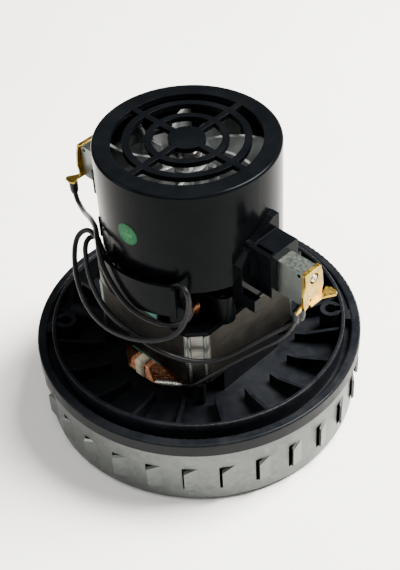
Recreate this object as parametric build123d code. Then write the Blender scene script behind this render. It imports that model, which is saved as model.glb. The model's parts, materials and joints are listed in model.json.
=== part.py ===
"""Vacuum motor unit: a blower drum with a universal motor on top, as separate pieces.

Lengths are in millimetres and angles in degrees. +Z is the motor's axis and points up, away from
the air inlet. The origin is on the axis, on the drum's lower face. The brushes lie along X.
"""
import os
from math import asin, cos, dist, pi, radians, sin, sqrt, tan

from build123d import *

# General fits
press_clearance = 0.02
running_clearance = 0.05
slip_clearance = 0.15
overrun = 2.0
bend_share = 0.45

# Blower drum, galvanised sheet
drum_radius = 69.0
drum_height = 31.7
drum_sheet = 1.0
drum_edge_radius = 3.0
inlet_radius = 19.0
inlet_lip_height = 3.2
louvre_count = 28
louvre_bottom = 8.0
louvre_height = 13.0
louvre_run = 5.7
louvre_lift = 1.9
louvre_sheet = 0.8
louvre_end_slope = 1.6
louvre_slit = 1.0

# Base flange, black moulded plastic
rim_overhang = 2.0
rim_height = 6.5
rim_land = 4.2
rim_edge_radius = 0.9
groove_width = 2.8
groove_shallow = 1.5
groove_deep = 5.0
ring_wall = 1.8
ring_rise = 4.1
ring_edge_radius = 0.5
dish_floor_drop = 1.7
dish_plate = 2.0
skirt_depth = 6.0
skirt_wall = 2.0
rib_count = 20
rib_thickness = 1.6
rib_inner_radius = 42.5
rib_inner_height = 5.0
rib_outer_height = 10.0
c_boss_radius = 4.6
c_boss_bore = 2.6
c_boss_inset = 4.2
c_boss_gap = 3.0
c_boss_azimuths = (45, 225)
partition_angle = 5
corner_post_radius = 2.6
corner_post_offset = 28.0
side_post_length = 34.0
bearing_wall = 2.6
bearing_lip = 1.5
bearing_lip_land = 2.4

# Ball bearings, both of one size
bearing_radius = 11.0
bearing_bore = 4.0
bearing_width = 7.0
bearing_outer_land = 1.9
bearing_inner_land = 2.2
ball_radius = 1.95
ball_count = 7

# Field stack, a square of laminations with cut corners
stack_bottom = 41.4
stack_height = 27.0
stack_half = 31.6
stack_corner = 40.0
yoke_wall = 6.0
yoke_corner_radius = 2.0
stator_bore = 20.0
pole_shoe = 4.0
pole_half_angle = 56
pole_neck = 17.0
weld_groove_radius = 0.8
weld_groove_offset = 3.2

# Field coils, copper wire
coil_wire = 1.0
coil_column_pitch = 2.1
coil_layer_pitch = 2.3
coil_columns = 3
coil_layers = 4
coil_first_half = 15.4
coil_first_depth = 20.4
coil_first_rise = 2.2
coil_bow_lower = 10.6
coil_bow_upper = 5.6
coil_mid_share = 0.35
coil_end_radius = 5.0
coil_mid_radius = 3.5
coil_samples_per_wire = 2
coil_wires_apart = 6
coil_liner = 1.0
coil_guard_height = 9.6
coil_guard_half = 9.0
coil_guard_wall = 0.9
tape_thickness = 0.3
tape_start = -3.6
tape_end = 3.0

# Rotor
rotor_radius = 19.4
rotor_slot_count = 12
rotor_slot_radius = 2.6
rotor_slot_depth = 5.0
rotor_slot_mouth = 1.6
winding_head_radius = 17.2
winding_head_lower = 8.0
winding_head_upper = 11.5
winding_head_round = 3.0
winding_lead_radius = 8.2
winding_sleeve = 5.6
commutator_radius = 11.5
commutator_height = 18.0
commutator_wall = 3.0
commutator_bar_count = 24
commutator_bar_slot = 0.5
commutator_bar_depth = 1.2
commutator_riser = 1.6
commutator_riser_height = 2.0
shaft_radius = 4.0
shaft_tail = 6.0
shaft_top = 132.6
spacer_radius = 6.0

# Impeller, aluminium sheet
impeller_gap = 8.0
impeller_bottom = 4.0
impeller_height = 13.2
impeller_sheet = 0.8
impeller_eye = 20.5
impeller_blade_count = 9
impeller_blade_inner = 23.0
impeller_blade_bend = 34.0
impeller_blade_offset = 33.0
washer_radius = 10.0
washer_height = 1.0
nut_across = 13.0
nut_height = 6.0

# Fan cover, black moulded plastic
cover_radius = 37.1
cover_wall = 2.0
cover_top = 137.0
cover_bottom = 89.5
cover_top_plate = 2.2
cover_edge_radius = 1.2
cover_step = 0.5
cover_step_height = 100.0
grille_rim = 7.4
grille_outer_shares = (0.85, 0.755)
grille_inner_shares = (0.555, 0.465)
grille_hub = 7.4
grille_spoke = 2.6
cover_foot = 2.0
cover_foot_inset = 0.3
cover_foot_opening = 16.0
cover_leg_azimuths = (-56, 56, 124, 236)
cover_leg_width = 10
cover_toe_reach = 34.0
screw_boss_radius = 4.7
screw_boss_height = 14.1
screw_boss_recess = 6.5
guard_gap = 3.4
guard_wall = 1.4
guard_bottom = 81.0
guard_height = 15.6
guard_start = -110
guard_end = -54.5
guard_rib_azimuths = (-77.5, -104)
guard_rib_thickness = 1.6
guard_rib_height = 4.5
guard_lip = 1.4
guard_lip_angle = 2
horn_azimuth = -123
horn_stand = 0.7
horn_bottom = 97.2
horn_height = 8.8
horn_width = 3.2
horn_tip_share = 0.25

# Brush gear
holder_stand = 12.0
holder_inner_end = 14.0
holder_width = 8.0
holder_height = 16.0
holder_centre = 97.6
holder_eyelet_radius = 0.8
holder_eyelet_inset = 1.6
brush_width = 6.4
brush_height = 12.0
brush_length = 31.0
box_stand = 12.9
box_half_width = 7.6
box_bottom = 88.0
box_height = 21.5
box_edge_radius = 0.8
box_recess_depth = 1.2
box_slot_width = 1.6
box_ear_width = 1.9
plate_stand = 2.5
plate_left = -13.0
plate_right = 8.6
plate_bottom = 82.0
plate_shoulder = 107.0
plate_top = 115.6
gusset_stand = 8.9
gusset_width = 3.6
gusset_height = 6.0
terminal_sheet = 0.8
terminal_gap = 0.3
terminal_top = 106.0
terminal_back_shares = [(-0.50, 0.525), (0.50, 0.525), (0.50, -0.44), (-0.19, -0.44), (-0.19, -0.62),
                        (-0.98, -0.62), (-0.98, -0.54), (-0.50, -0.40)]
terminal_face_shares = [(-0.55, 0.525), (0.58, 0.525), (0.72, 0.27), (0.80, -0.12), (0.70, -0.36),
                        (0.76, -0.495), (-0.14, -0.495), (-0.52, -0.60), (-0.61, -0.36), (-0.66, -0.11),
                        (-0.50, 0.13), (-0.50, 0.29)]
terminal_tab_shares = [(0.14, -0.20), (0.35, -0.20), (0.36, 0.58), (0.50, 0.83), (0.73, 1.20),
                       (0.62, 1.40), (0.26, 1.46), (-0.01, 1.33), (0.14, 0.86)]
tab_top = 89.7
terminal_pin_radius = 0.6
terminal_pin_shares = (-0.12, -0.375)
rivet_shares = (0.11, 0.25)
rivet_hole = 2.4
rivet_radius = 1.75
rivet_height = 1.4
crimp_radius = 1.75
small_crimp_radius = 1.2
crimp_length = 4.6
tab_crimp_place = 9.3
tab_crimp_reach = 2.0
tab_crimp_top = 89.3
leg_crimp_place = -3.7
leg_crimp_reach = -0.7
small_crimp_place = -6.4
leg_crimp_top = 88.3
spring_radius = 2.5
spring_wire = 0.6
spring_turns = 8
spring_bend_share = 0.9

# Upper bearing bracket and its screws
bracket_bottom = 107.6
bracket_arm_height = 4.2
bracket_arm_width = 6.0
bracket_arm_azimuths = (45, 135, 225, 315)
bracket_post_depth = 6.1
bracket_post_bottom = 96.0
bracket_screw_radius = 1.2
bracket_screw_head = 2.3
bracket_screw_head_height = 1.6
bracket_screw_length = 9.0
bracket_screw_inset = 2.8

# Cooling fan, pale moulded plastic
fan_gap = 3.6
fan_bottom = 117.0
fan_plate = 1.5
fan_height = 14.0
fan_hub_radius = 8.0
fan_hub_height = 9.0
fan_blade_count = 9
fan_blade_inner = 11.0
fan_blade_bend = 26.0
fan_blade_offset = 25.0
fan_blade_thickness = 1.3
fan_blade_inset = 0.2
fan_nut_across = 12.0
fan_nut_height = 5.0

# Stack screws
screw_radius = 1.75
screw_head_radius = 3.5
screw_head_height = 2.6
screw_end = 34.0
screw_place = 12.4

# Leads and the splice
lead_diameter = 2.2
field_lead_diameter = 1.5
splice_radius = 1.5
splice_start = (10.6, -37.4, 36.8)
splice_end = (22.4, -32.6, 39.6)
sticker_radius = 4.8
sticker_thickness = 0.15
sticker_height = 113.6
sticker_azimuth = -85.5

# Places worked out from the sizes above
rim_bottom = drum_height
rim_top = rim_bottom + rim_height
rim_radius = drum_radius + rim_overhang
rim_land_radius = rim_radius - rim_land
ring_radius = rim_land_radius - groove_width
ring_bore = ring_radius - ring_wall
ring_top = rim_top + ring_rise
dish_floor = drum_height - dish_floor_drop
dish_underside = dish_floor - dish_plate
skirt_radius = drum_radius - drum_sheet - press_clearance
stack_top = stack_bottom + stack_height
yoke_half = stack_half - yoke_wall
pole_radius = stator_bore + pole_shoe
screw_yoke_place = stack_half - yoke_wall / 2
lower_bearing_top = dish_floor
lower_bearing_bottom = lower_bearing_top - bearing_width
upper_bearing_bottom = bracket_bottom
upper_bearing_top = upper_bearing_bottom + bearing_width
commutator_top = holder_centre + commutator_height / 2
commutator_bottom = commutator_top - commutator_height
cover_bore = cover_radius - cover_wall
grille_opening = cover_radius - grille_rim
guard_inner = cover_radius + guard_gap
guard_outer = guard_inner + guard_wall
guard_top = guard_bottom + guard_height
cover_foot_top = stack_top + cover_foot
screw_boss_top = stack_top + screw_boss_height
brush_inner_end = commutator_radius + running_clearance
brush_outer_end = brush_inner_end + brush_length
box_outer_end = cover_radius + box_stand
holder_outer_end = box_outer_end + holder_stand
plate_outer_end = cover_radius + plate_stand
bracket_post_inner = cover_bore - bracket_post_depth
bracket_screw_place = bracket_post_inner + bracket_screw_inset
fan_radius = cover_bore - fan_gap
impeller_top = impeller_bottom + impeller_height
impeller_radius = drum_radius - drum_sheet - impeller_gap
LOW = (Align.CENTER, Align.CENTER, Align.MIN)


def disc(radius, bottom, top):
    """Round solid about the motor's axis."""
    return Pos(0, 0, bottom) * Cylinder(radius, top - bottom, align=LOW)


def ring(outer, inner, bottom, top):
    """Round solid with a bore."""
    return disc(outer, bottom, top) - disc(inner, bottom - overrun, top + overrun)


def block(x_low, x_high, y_low, y_high, z_low, z_high):
    """Box between its low and high faces."""
    centre = ((x_low + x_high) / 2, (y_low + y_high) / 2, (z_low + z_high) / 2)
    return Pos(*centre) * Box(x_high - x_low, y_high - y_low, z_high - z_low)


def sector(outer, inner, bottom, top, start, end):
    """Part of a ring from one azimuth to another."""
    points = [(inner, 0, bottom), (outer, 0, bottom), (outer, 0, top), (inner, 0, top)]
    face = make_face(Polyline(*points, close=True))
    return Rot(0, 0, start) * revolve(face, Axis.Z, end - start)


def post(x, y, radius, bottom, top):
    """Upright pin at a place."""
    return Pos(x, y, 0) * disc(radius, bottom, top)


def along_x(points, low, high):
    """Solid with an outline in Y and Z, between two values of X."""
    face = make_face(Polyline(*[(low, y, z) for y, z in points], close=True))
    return extrude(face, high - low, dir=(1, 0, 0))


def along_y(points, low, high):
    """Solid with an outline in X and Z, between two values of Y."""
    face = make_face(Polyline(*[(x, low, z) for x, z in points], close=True))
    return extrude(face, high - low, dir=(0, 1, 0))


def upright(points, bottom, top):
    """Solid with an outline in X and Y, between two heights."""
    face = make_face(Polyline(*[(x, y, bottom) for x, y in points], close=True))
    return extrude(face, top - bottom, dir=(0, 0, 1))


def hexagon(across, bottom, top):
    """Nut blank about the axis, given its size across the flats."""
    corner = across / 2 / cos(radians(30))
    points = [(corner * cos(radians(60 * k)), corner * sin(radians(60 * k))) for k in range(6)]
    return upright(points, bottom, top)


def corner_radii(points):
    """Largest arc that each corner of a route has room for."""
    radii = []
    for before, here, after in zip(points, points[1:], points[2:]):
        run_in = Vector(*here) - Vector(*before)
        run_out = Vector(*after) - Vector(*here)
        half_turn = radians(run_in.get_angle(run_out)) / 2
        radii.append(bend_share * min(run_in.length, run_out.length) / tan(half_turn))
    return radii


def tube(points, diameter, radii):
    """Round bar along straight runs joined by arcs."""
    path = FilletPolyline(*points, radius=radii)
    start = Plane(path @ 0, z_dir=path % 0)
    return sweep(start * Circle(diameter / 2), path=path), path


def save(name, shape):
    """Writes the solids of one sub-part."""
    solids = shape.solids()
    export_step(solids[0] if len(solids) == 1 else Compound(solids), "parts/" + name + ".step")


def louvre_plan(lift, sheet, start, root):
    """Plan of one louvre, hinged along its far edge, from its slit on."""
    far = sqrt(drum_radius ** 2 - louvre_run ** 2) - sheet
    tip = drum_radius + lift
    return [(root, start), (tip, start), (far, louvre_run), (root, louvre_run)]


def louvre_side():
    """Side view of one louvre, its free corners cut off."""
    low = louvre_bottom
    high = louvre_bottom + louvre_height
    back = drum_radius - overrun - drum_sheet
    tip = drum_radius + louvre_lift
    return [(back, low), (drum_radius, low), (tip, low + louvre_end_slope),
            (tip, high - louvre_end_slope), (drum_radius, high), (back, high)]


def louvre_body(lift, sheet, start, root):
    """Wedge of one louvre: its outside with no sheet, or its hollow with the sheet taken off."""
    return upright(louvre_plan(lift, sheet, start, root), louvre_bottom, louvre_bottom + louvre_height)


def blower_drum():
    """Open drum with a lipped air inlet below and louvres round its wall."""
    outside = fillet(disc(drum_radius, 0, drum_height).edges().group_by(Axis.Z)[0], drum_edge_radius)
    hollow = disc(drum_radius - drum_sheet, drum_sheet, drum_height + overrun)
    hollow = fillet(hollow.edges().group_by(Axis.Z)[0], drum_edge_radius - drum_sheet)
    body = outside - hollow - disc(inlet_radius, -overrun, drum_sheet + overrun)
    body += ring(inlet_radius + drum_sheet, inlet_radius, 0, inlet_lip_height)
    deep_root = drum_radius - 2 * drum_sheet
    hollow_wedge = louvre_body(louvre_lift - louvre_sheet, louvre_sheet, -louvre_slit, deep_root)
    wedge = louvre_body(louvre_lift, 0, 0, drum_radius - drum_sheet)
    wedge &= along_y(louvre_side(), -louvre_slit, louvre_run)
    flap = wedge - hollow_wedge
    turns = [Rot(0, 0, 360 * k / louvre_count) for k in range(louvre_count)]
    body -= [turn * hollow_wedge for turn in turns]
    body += [turn * flap for turn in turns]
    return body


def base_flange():
    """Round dish that closes the drum, holds the lower bearing and carries the stack."""
    body = ring(ring_radius, ring_bore, dish_underside, ring_top)
    body = fillet(body.edges().group_by(Axis.Z)[-1], ring_edge_radius)
    rim = ring(rim_radius, rim_land_radius, rim_bottom, rim_top)
    rim = fillet(rim.edges().group_by(Axis.Z)[-1], rim_edge_radius)
    body += rim
    body += ring(rim_land_radius, ring_radius, rim_bottom, rim_top - groove_deep)
    body += sector(rim_land_radius, ring_radius, rim_bottom, rim_top - groove_shallow, *c_boss_azimuths)
    body += ring(skirt_radius, skirt_radius - skirt_wall, rim_bottom - skirt_depth, rim_bottom)
    body += ring(skirt_radius, ring_bore, dish_underside, rim_bottom)
    body += disc(ring_bore + ring_wall / 2, dish_underside, dish_floor)
    rib_outer = ring_bore + ring_wall / 2
    rib = along_y([(rib_inner_radius, dish_floor - dish_plate / 2), (rib_outer, dish_floor - dish_plate / 2),
                   (rib_outer, dish_floor + rib_outer_height),
                   (rib_inner_radius + c_boss_radius, dish_floor + rib_inner_height),
                   (rib_inner_radius, dish_floor + rib_inner_height)], -rib_thickness / 2, rib_thickness / 2)
    body += [Rot(0, 0, 360 * k / rib_count) * rib for k in range(rib_count)]
    c_place = ring_bore - c_boss_inset
    c_boss = post(c_place, 0, c_boss_radius, dish_floor - dish_plate / 2, ring_top)
    c_boss -= post(c_place, 0, c_boss_bore, dish_floor, ring_top + overrun)
    c_boss -= block(c_place, c_place + c_boss_radius, -c_boss_gap / 2, c_boss_gap / 2,
                    dish_floor, ring_top + overrun)
    for azimuth in c_boss_azimuths:
        body += Rot(0, 0, azimuth) * c_boss
        edges = (azimuth - partition_angle / 2, azimuth + partition_angle / 2)
        body += sector(rim_land_radius, ring_radius, rim_bottom, rim_top, *edges)
    base = dish_floor - dish_plate / 2
    for side_x in (1, -1):
        for side_y in (1, -1):
            place = (side_x * corner_post_offset, side_y * corner_post_offset)
            body += post(*place, corner_post_radius, base, stack_bottom)
        low, high = sorted((side_x * (yoke_half + slip_clearance), side_x * (stack_half - slip_clearance)))
        body += block(low, high, -side_post_length / 2, side_post_length / 2, base, stack_bottom)
        hole = (side_x * screw_yoke_place, -side_x * screw_place)
        body -= post(*hole, screw_radius + slip_clearance, screw_end - overrun, stack_bottom + overrun)
    seat = bearing_radius + press_clearance
    body += disc(seat + bearing_wall, lower_bearing_bottom - bearing_lip, dish_floor)
    body -= disc(seat, lower_bearing_bottom, dish_floor + overrun)
    body -= disc(bearing_radius - bearing_lip_land, lower_bearing_bottom - bearing_lip - overrun, dish_floor)
    return body


def bearing(bottom):
    """Outer ring, inner ring and balls of one ball bearing."""
    centre = bottom + bearing_width / 2
    outer_bore = bearing_radius - bearing_outer_land
    inner_land = bearing_bore + bearing_inner_land
    pitch = (outer_bore + inner_land) / 2
    track = Pos(0, 0, centre) * Torus(pitch, ball_radius + running_clearance)
    outer = ring(bearing_radius, outer_bore, bottom, bottom + bearing_width) - track
    inner = ring(inner_land, bearing_bore + press_clearance, bottom, bottom + bearing_width) - track
    ball = Pos(pitch, 0, centre) * Sphere(ball_radius)
    balls = Compound([Rot(0, 0, 360 * k / ball_count) * ball for k in range(ball_count)])
    return outer, inner, balls


def stack_outline(half, corner, bottom, top):
    """Square block with its four upright edges cut back."""
    leg = 2 * half - corner * sqrt(2)
    points = []
    for k in range(4):
        c, s = round(cos(radians(90 * k))), round(sin(radians(90 * k)))
        for x, y in ((half, half - leg), (half - leg, half)):
            points.append((c * x - s * y, s * x + c * y))
    return upright(points, bottom, top)


def stator_core():
    """Laminated yoke with two poles on Y."""
    body = stack_outline(stack_half, stack_corner, stack_bottom, stack_top)
    hollow = block(-yoke_half, yoke_half, -yoke_half, yoke_half, stack_bottom - overrun, stack_top + overrun)
    body -= fillet(hollow.edges().filter_by(Axis.Z), yoke_corner_radius)
    body += block(-pole_neck / 2, pole_neck / 2, -yoke_half, yoke_half, stack_bottom, stack_top)
    for centre in (90, 270):
        edges = (centre - pole_half_angle, centre + pole_half_angle)
        body += sector(pole_radius, stator_bore - overrun, stack_bottom, stack_top, *edges)
    body -= disc(stator_bore, stack_bottom - overrun, stack_top + overrun)
    for side in (1, -1):
        hole = (side * screw_yoke_place, -side * screw_place)
        body -= post(*hole, screw_radius + slip_clearance, stack_bottom - overrun, stack_top + overrun)
    groove = post(stack_corner, 0, weld_groove_radius, stack_bottom - overrun, stack_top + overrun)
    for k in range(4):
        for side in (1, -1):
            body -= Rot(0, 0, 45 + 90 * k) * Pos(0, side * weld_groove_offset, 0) * groove
    return body


def coil_order():
    """Layer and column of each turn, back and forth, so that neighbours follow each other."""
    order = []
    for layer in range(coil_layers):
        columns = range(coil_columns) if layer % 2 == 0 else reversed(range(coil_columns))
        order += [(layer, column) for column in columns]
    return order


def coil_route():
    """Points of the wire round the pole on -Y, and the arc at each corner."""
    points = []
    radii = []
    for layer, column in coil_order():
        half = coil_first_half + layer * coil_layer_pitch
        depth = coil_first_depth + column * coil_column_pitch
        rise = coil_first_rise + layer * coil_layer_pitch
        mid = half * coil_mid_share
        low, high = stack_bottom - rise, stack_top + rise
        bow_low, bow_high = depth + coil_bow_lower, depth + coil_bow_upper
        points += [(mid, -bow_high, high), (half, -depth, high), (half, -depth, low),
                   (mid, -bow_low, low), (-mid, -bow_low, low), (-half, -depth, low),
                   (-half, -depth, high), (-mid, -bow_high, high)]
        end = min(rise, coil_end_radius)
        radii += [coil_mid_radius, end, end, coil_mid_radius, coil_mid_radius, end, end, coil_mid_radius]
    return points, radii[1:-1]


def least_gap(path, diameter):
    """Least free space between the turns of a wound tube, from places along it."""
    steps = round(coil_samples_per_wire * path.length / diameter)
    places = [tuple(path @ (k / steps)) for k in range(steps + 1)]
    apart = coil_samples_per_wire * coil_wires_apart
    return min(dist(a, b) for k, a in enumerate(places) for b in places[k + apart:]) - diameter


def field_coil():
    """One field coil in a single unbroken wire."""
    points, radii = coil_route()
    solid, path = tube(points, coil_wire, radii)
    print("field coil least gap %.2f mm" % least_gap(path, coil_wire))
    return solid


def coil_insulator():
    """Green former on both ends of the pole on -Y, with a wall outside the upper end turns."""
    half = pole_neck / 2
    inner = stator_bore + slip_clearance
    outer = coil_first_depth + (coil_columns - 1) * coil_column_pitch + coil_bow_upper + coil_wire / 2
    wall_low = outer + slip_clearance + coil_guard_wall
    top_plate = block(-half, half, -wall_low, -inner, stack_top, stack_top + coil_liner)
    wall = block(-coil_guard_half, coil_guard_half, -wall_low, -outer - slip_clearance,
                 stack_top, stack_top + coil_guard_height)
    bottom_plate = block(-half, half, -stack_half, -inner, stack_bottom - coil_liner, stack_bottom)
    return Compound([top_plate + wall, bottom_plate])


def coil_tape():
    """Cream tape wrapped once round the lower end turns."""
    last_column = (coil_columns - 1) * coil_column_pitch
    last_layer = (coil_layers - 1) * coil_layer_pitch
    near = coil_first_depth + coil_bow_lower - coil_wire / 2 - slip_clearance
    far = coil_first_depth + coil_bow_lower + last_column + coil_wire / 2 + slip_clearance
    high = stack_bottom - coil_first_rise + coil_wire / 2 + slip_clearance
    low = stack_bottom - coil_first_rise - last_layer - coil_wire / 2 - slip_clearance
    t = tape_thickness
    outside = block(tape_start, tape_end, -far - t, -near + t, low - t, high + t)
    return outside - block(tape_start - t, tape_end + t, -far, -near, low, high)


def armature_core():
    """Slotted stack on the shaft."""
    body = ring(rotor_radius, shaft_radius + press_clearance, stack_bottom, stack_top)
    place = rotor_radius - rotor_slot_depth
    slot = post(place, 0, rotor_slot_radius, stack_bottom - overrun, stack_top + overrun)
    mouth = rotor_slot_mouth / 2
    slot += block(place, rotor_radius + overrun, -mouth, mouth, stack_bottom - overrun, stack_top + overrun)
    body -= [Rot(0, 0, 360 * k / rotor_slot_count) * slot for k in range(rotor_slot_count)]
    return body


def armature_winding():
    """Winding heads above and below the stack, joined by the bars in the slots."""
    sleeve = winding_sleeve
    low = ring(winding_head_radius, sleeve, stack_bottom - winding_head_lower, stack_bottom)
    low = fillet(low.edges().group_by(Axis.Z)[0].sort_by(SortBy.RADIUS)[-1:], winding_head_round)
    high = ring(winding_head_radius, sleeve, stack_top, stack_top + winding_head_upper)
    high = fillet(high.edges().group_by(Axis.Z)[-1].sort_by(SortBy.RADIUS)[-1:], winding_head_round)
    high += ring(winding_lead_radius, sleeve, stack_top, commutator_bottom)
    bar_radius = rotor_slot_radius - slip_clearance
    bar = post(rotor_radius - rotor_slot_depth, 0, bar_radius, stack_bottom, stack_top)
    bars = [Rot(0, 0, 360 * k / rotor_slot_count) * bar for k in range(rotor_slot_count)]
    return low + high + bars


def commutator():
    """Ring of copper bars with risers at its lower end."""
    body = ring(commutator_radius, commutator_radius - commutator_wall, commutator_bottom, commutator_top)
    riser_radius = commutator_radius + commutator_riser
    body += ring(riser_radius, commutator_radius - commutator_wall,
                 commutator_bottom, commutator_bottom + commutator_riser_height)
    slot = block(commutator_radius - commutator_bar_depth, riser_radius + overrun,
                 -commutator_bar_slot / 2, commutator_bar_slot / 2,
                 commutator_bottom - overrun, commutator_top + overrun)
    body -= [Rot(0, 0, 360 * k / commutator_bar_count) * slot for k in range(commutator_bar_count)]
    return body


def rotor_spacers():
    """Sleeves that keep the pieces on the shaft apart."""
    inner = shaft_radius + press_clearance
    spans = [(impeller_top + washer_height, lower_bearing_bottom),
             (lower_bearing_top, stack_bottom),
             (stack_top, commutator_bottom),
             (commutator_top, upper_bearing_bottom),
             (upper_bearing_top, fan_bottom)]
    outer = [spacer_radius, winding_sleeve, winding_sleeve, spacer_radius, spacer_radius]
    return Compound([ring(radius, inner, *span) for radius, span in zip(outer, spans)])


def curved_blade(offset, bend, thickness, inner, outer, bottom, top):
    """One blade, an arc cut from a ring that stands beside the axis."""
    half = thickness / 2
    arc = Pos(offset, 0, 0) * ring(bend + half, bend - half, bottom, top)
    arc &= ring(outer, inner, bottom, top)
    return arc & block(-outer, outer, 0, outer, bottom, top)


def impeller():
    """Back plate, front plate and blades of the blower wheel."""
    back_bottom = impeller_top - impeller_sheet
    front_top = impeller_bottom + impeller_sheet
    back = ring(impeller_radius, shaft_radius + press_clearance, back_bottom, impeller_top)
    front = ring(impeller_radius, impeller_eye, impeller_bottom, front_top)
    blade = curved_blade(impeller_blade_offset, impeller_blade_bend, impeller_sheet,
                         impeller_blade_inner, impeller_radius - impeller_sheet, front_top, back_bottom)
    turns = [Rot(0, 0, 360 * k / impeller_blade_count) for k in range(impeller_blade_count)]
    blades = Compound([turn * blade for turn in turns])
    return back, front, blades


def impeller_washers():
    """Washers on both faces of the back plate."""
    inner = shaft_radius + press_clearance
    under = impeller_top - impeller_sheet
    above = ring(washer_radius, inner, impeller_top, impeller_top + washer_height)
    return Compound([ring(washer_radius, inner, under - washer_height, under), above])


def cooling_fan():
    """Fan under the grille: hub, disc and curved blades."""
    inner = shaft_radius + press_clearance
    body = ring(fan_radius, inner, fan_bottom, fan_bottom + fan_plate)
    body += ring(fan_hub_radius, inner, fan_bottom, fan_bottom + fan_hub_height)
    blade = curved_blade(fan_blade_offset, fan_blade_bend, fan_blade_thickness, fan_blade_inner,
                         fan_radius - fan_blade_inset, fan_bottom + fan_plate / 2, fan_bottom + fan_height)
    body += [Rot(0, 0, 360 * k / fan_blade_count) * blade for k in range(fan_blade_count)]
    return body


def grille():
    """Rings, hub and spokes in the cover's top."""
    bottom, top = cover_top - cover_top_plate, cover_top
    body = disc(grille_hub, bottom, top)
    for outer_share, inner_share in (grille_outer_shares, grille_inner_shares):
        body += ring(outer_share * grille_opening, inner_share * grille_opening, bottom, top)
    for azimuth in (0, 90, 180, 270):
        spoke = block(0, grille_opening + cover_wall, -grille_spoke / 2, grille_spoke / 2, bottom, top)
        body += Rot(0, 0, azimuth) * spoke
    return body


def cable_guard():
    """Curved wall beside the cover that the leads wrap round, with a lip and two ribs."""
    body = sector(guard_outer, guard_inner, guard_bottom, guard_top, guard_start, guard_end)
    lip_start = guard_end - guard_lip_angle
    body += sector(guard_outer + guard_lip, guard_inner, guard_bottom, guard_top, lip_start, guard_end)
    half = guard_rib_thickness / 2
    rib = block(cover_radius - cover_wall / 2, guard_inner + guard_wall / 2, -half, half,
                guard_top - guard_rib_height, guard_top)
    body += [Rot(0, 0, azimuth) * rib for azimuth in guard_rib_azimuths]
    return body


def lead_horn():
    """Upright pointed rib on the cover that a lead passes outside of."""
    half = horn_width / 2
    tip = half * horn_tip_share
    top = horn_bottom + horn_height
    outline = [(-half, horn_bottom), (half, horn_bottom), (tip, top), (-tip, top)]
    wall = cover_radius - cover_wall / 2
    return Rot(0, 0, horn_azimuth) * along_x(outline, wall, cover_radius + horn_stand)


def brush_box():
    """Moulded housing on the cover's side that grips one brush holder, for the side on +X."""
    wall = cover_radius - cover_wall / 2
    box = block(wall, box_outer_end, -box_half_width, box_half_width, box_bottom, box_bottom + box_height)
    box = fillet(box.edges().filter_by(Axis.X), box_edge_radius)
    inset = box_half_width - box_recess_depth
    span = (plate_outer_end + box_recess_depth, box_outer_end - box_recess_depth)
    box -= block(*span, -box_half_width - overrun, -inset,
                 holder_centre - holder_width, holder_centre + holder_width)
    slot_top = box_bottom + box_height
    slot = (-inset, -inset + box_slot_width)
    box -= block(*span, *slot, slot_top - box_recess_depth, slot_top + overrun)
    ear = (box_half_width - box_recess_depth, box_half_width + box_ear_width)
    box += block(box_outer_end - holder_width, box_outer_end, *ear,
                 holder_centre - holder_width, holder_centre + holder_width / 2)
    plate = along_x([(plate_left, plate_bottom), (plate_right, plate_bottom), (plate_right, plate_top),
                     (plate_right - gusset_width, plate_top), (plate_left + gusset_width, plate_shoulder),
                     (plate_left, plate_shoulder - gusset_height)], wall - cover_wall, plate_outer_end)
    plate -= disc(cover_bore + cover_wall / 2, plate_bottom - overrun, plate_top + overrun)
    gusset = block(wall, cover_radius + gusset_stand, plate_left, plate_left + gusset_width,
                   plate_bottom, plate_bottom + gusset_height)
    return box + plate + gusset


def holder_passage():
    """Space that a brush holder takes through the box and the cover's wall."""
    half_width = holder_width / 2 + slip_clearance
    half_height = holder_height / 2 + slip_clearance
    return block(cover_bore - overrun * 2, box_outer_end + overrun, -half_width, half_width,
                 holder_centre - half_height, holder_centre + half_height)


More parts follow.
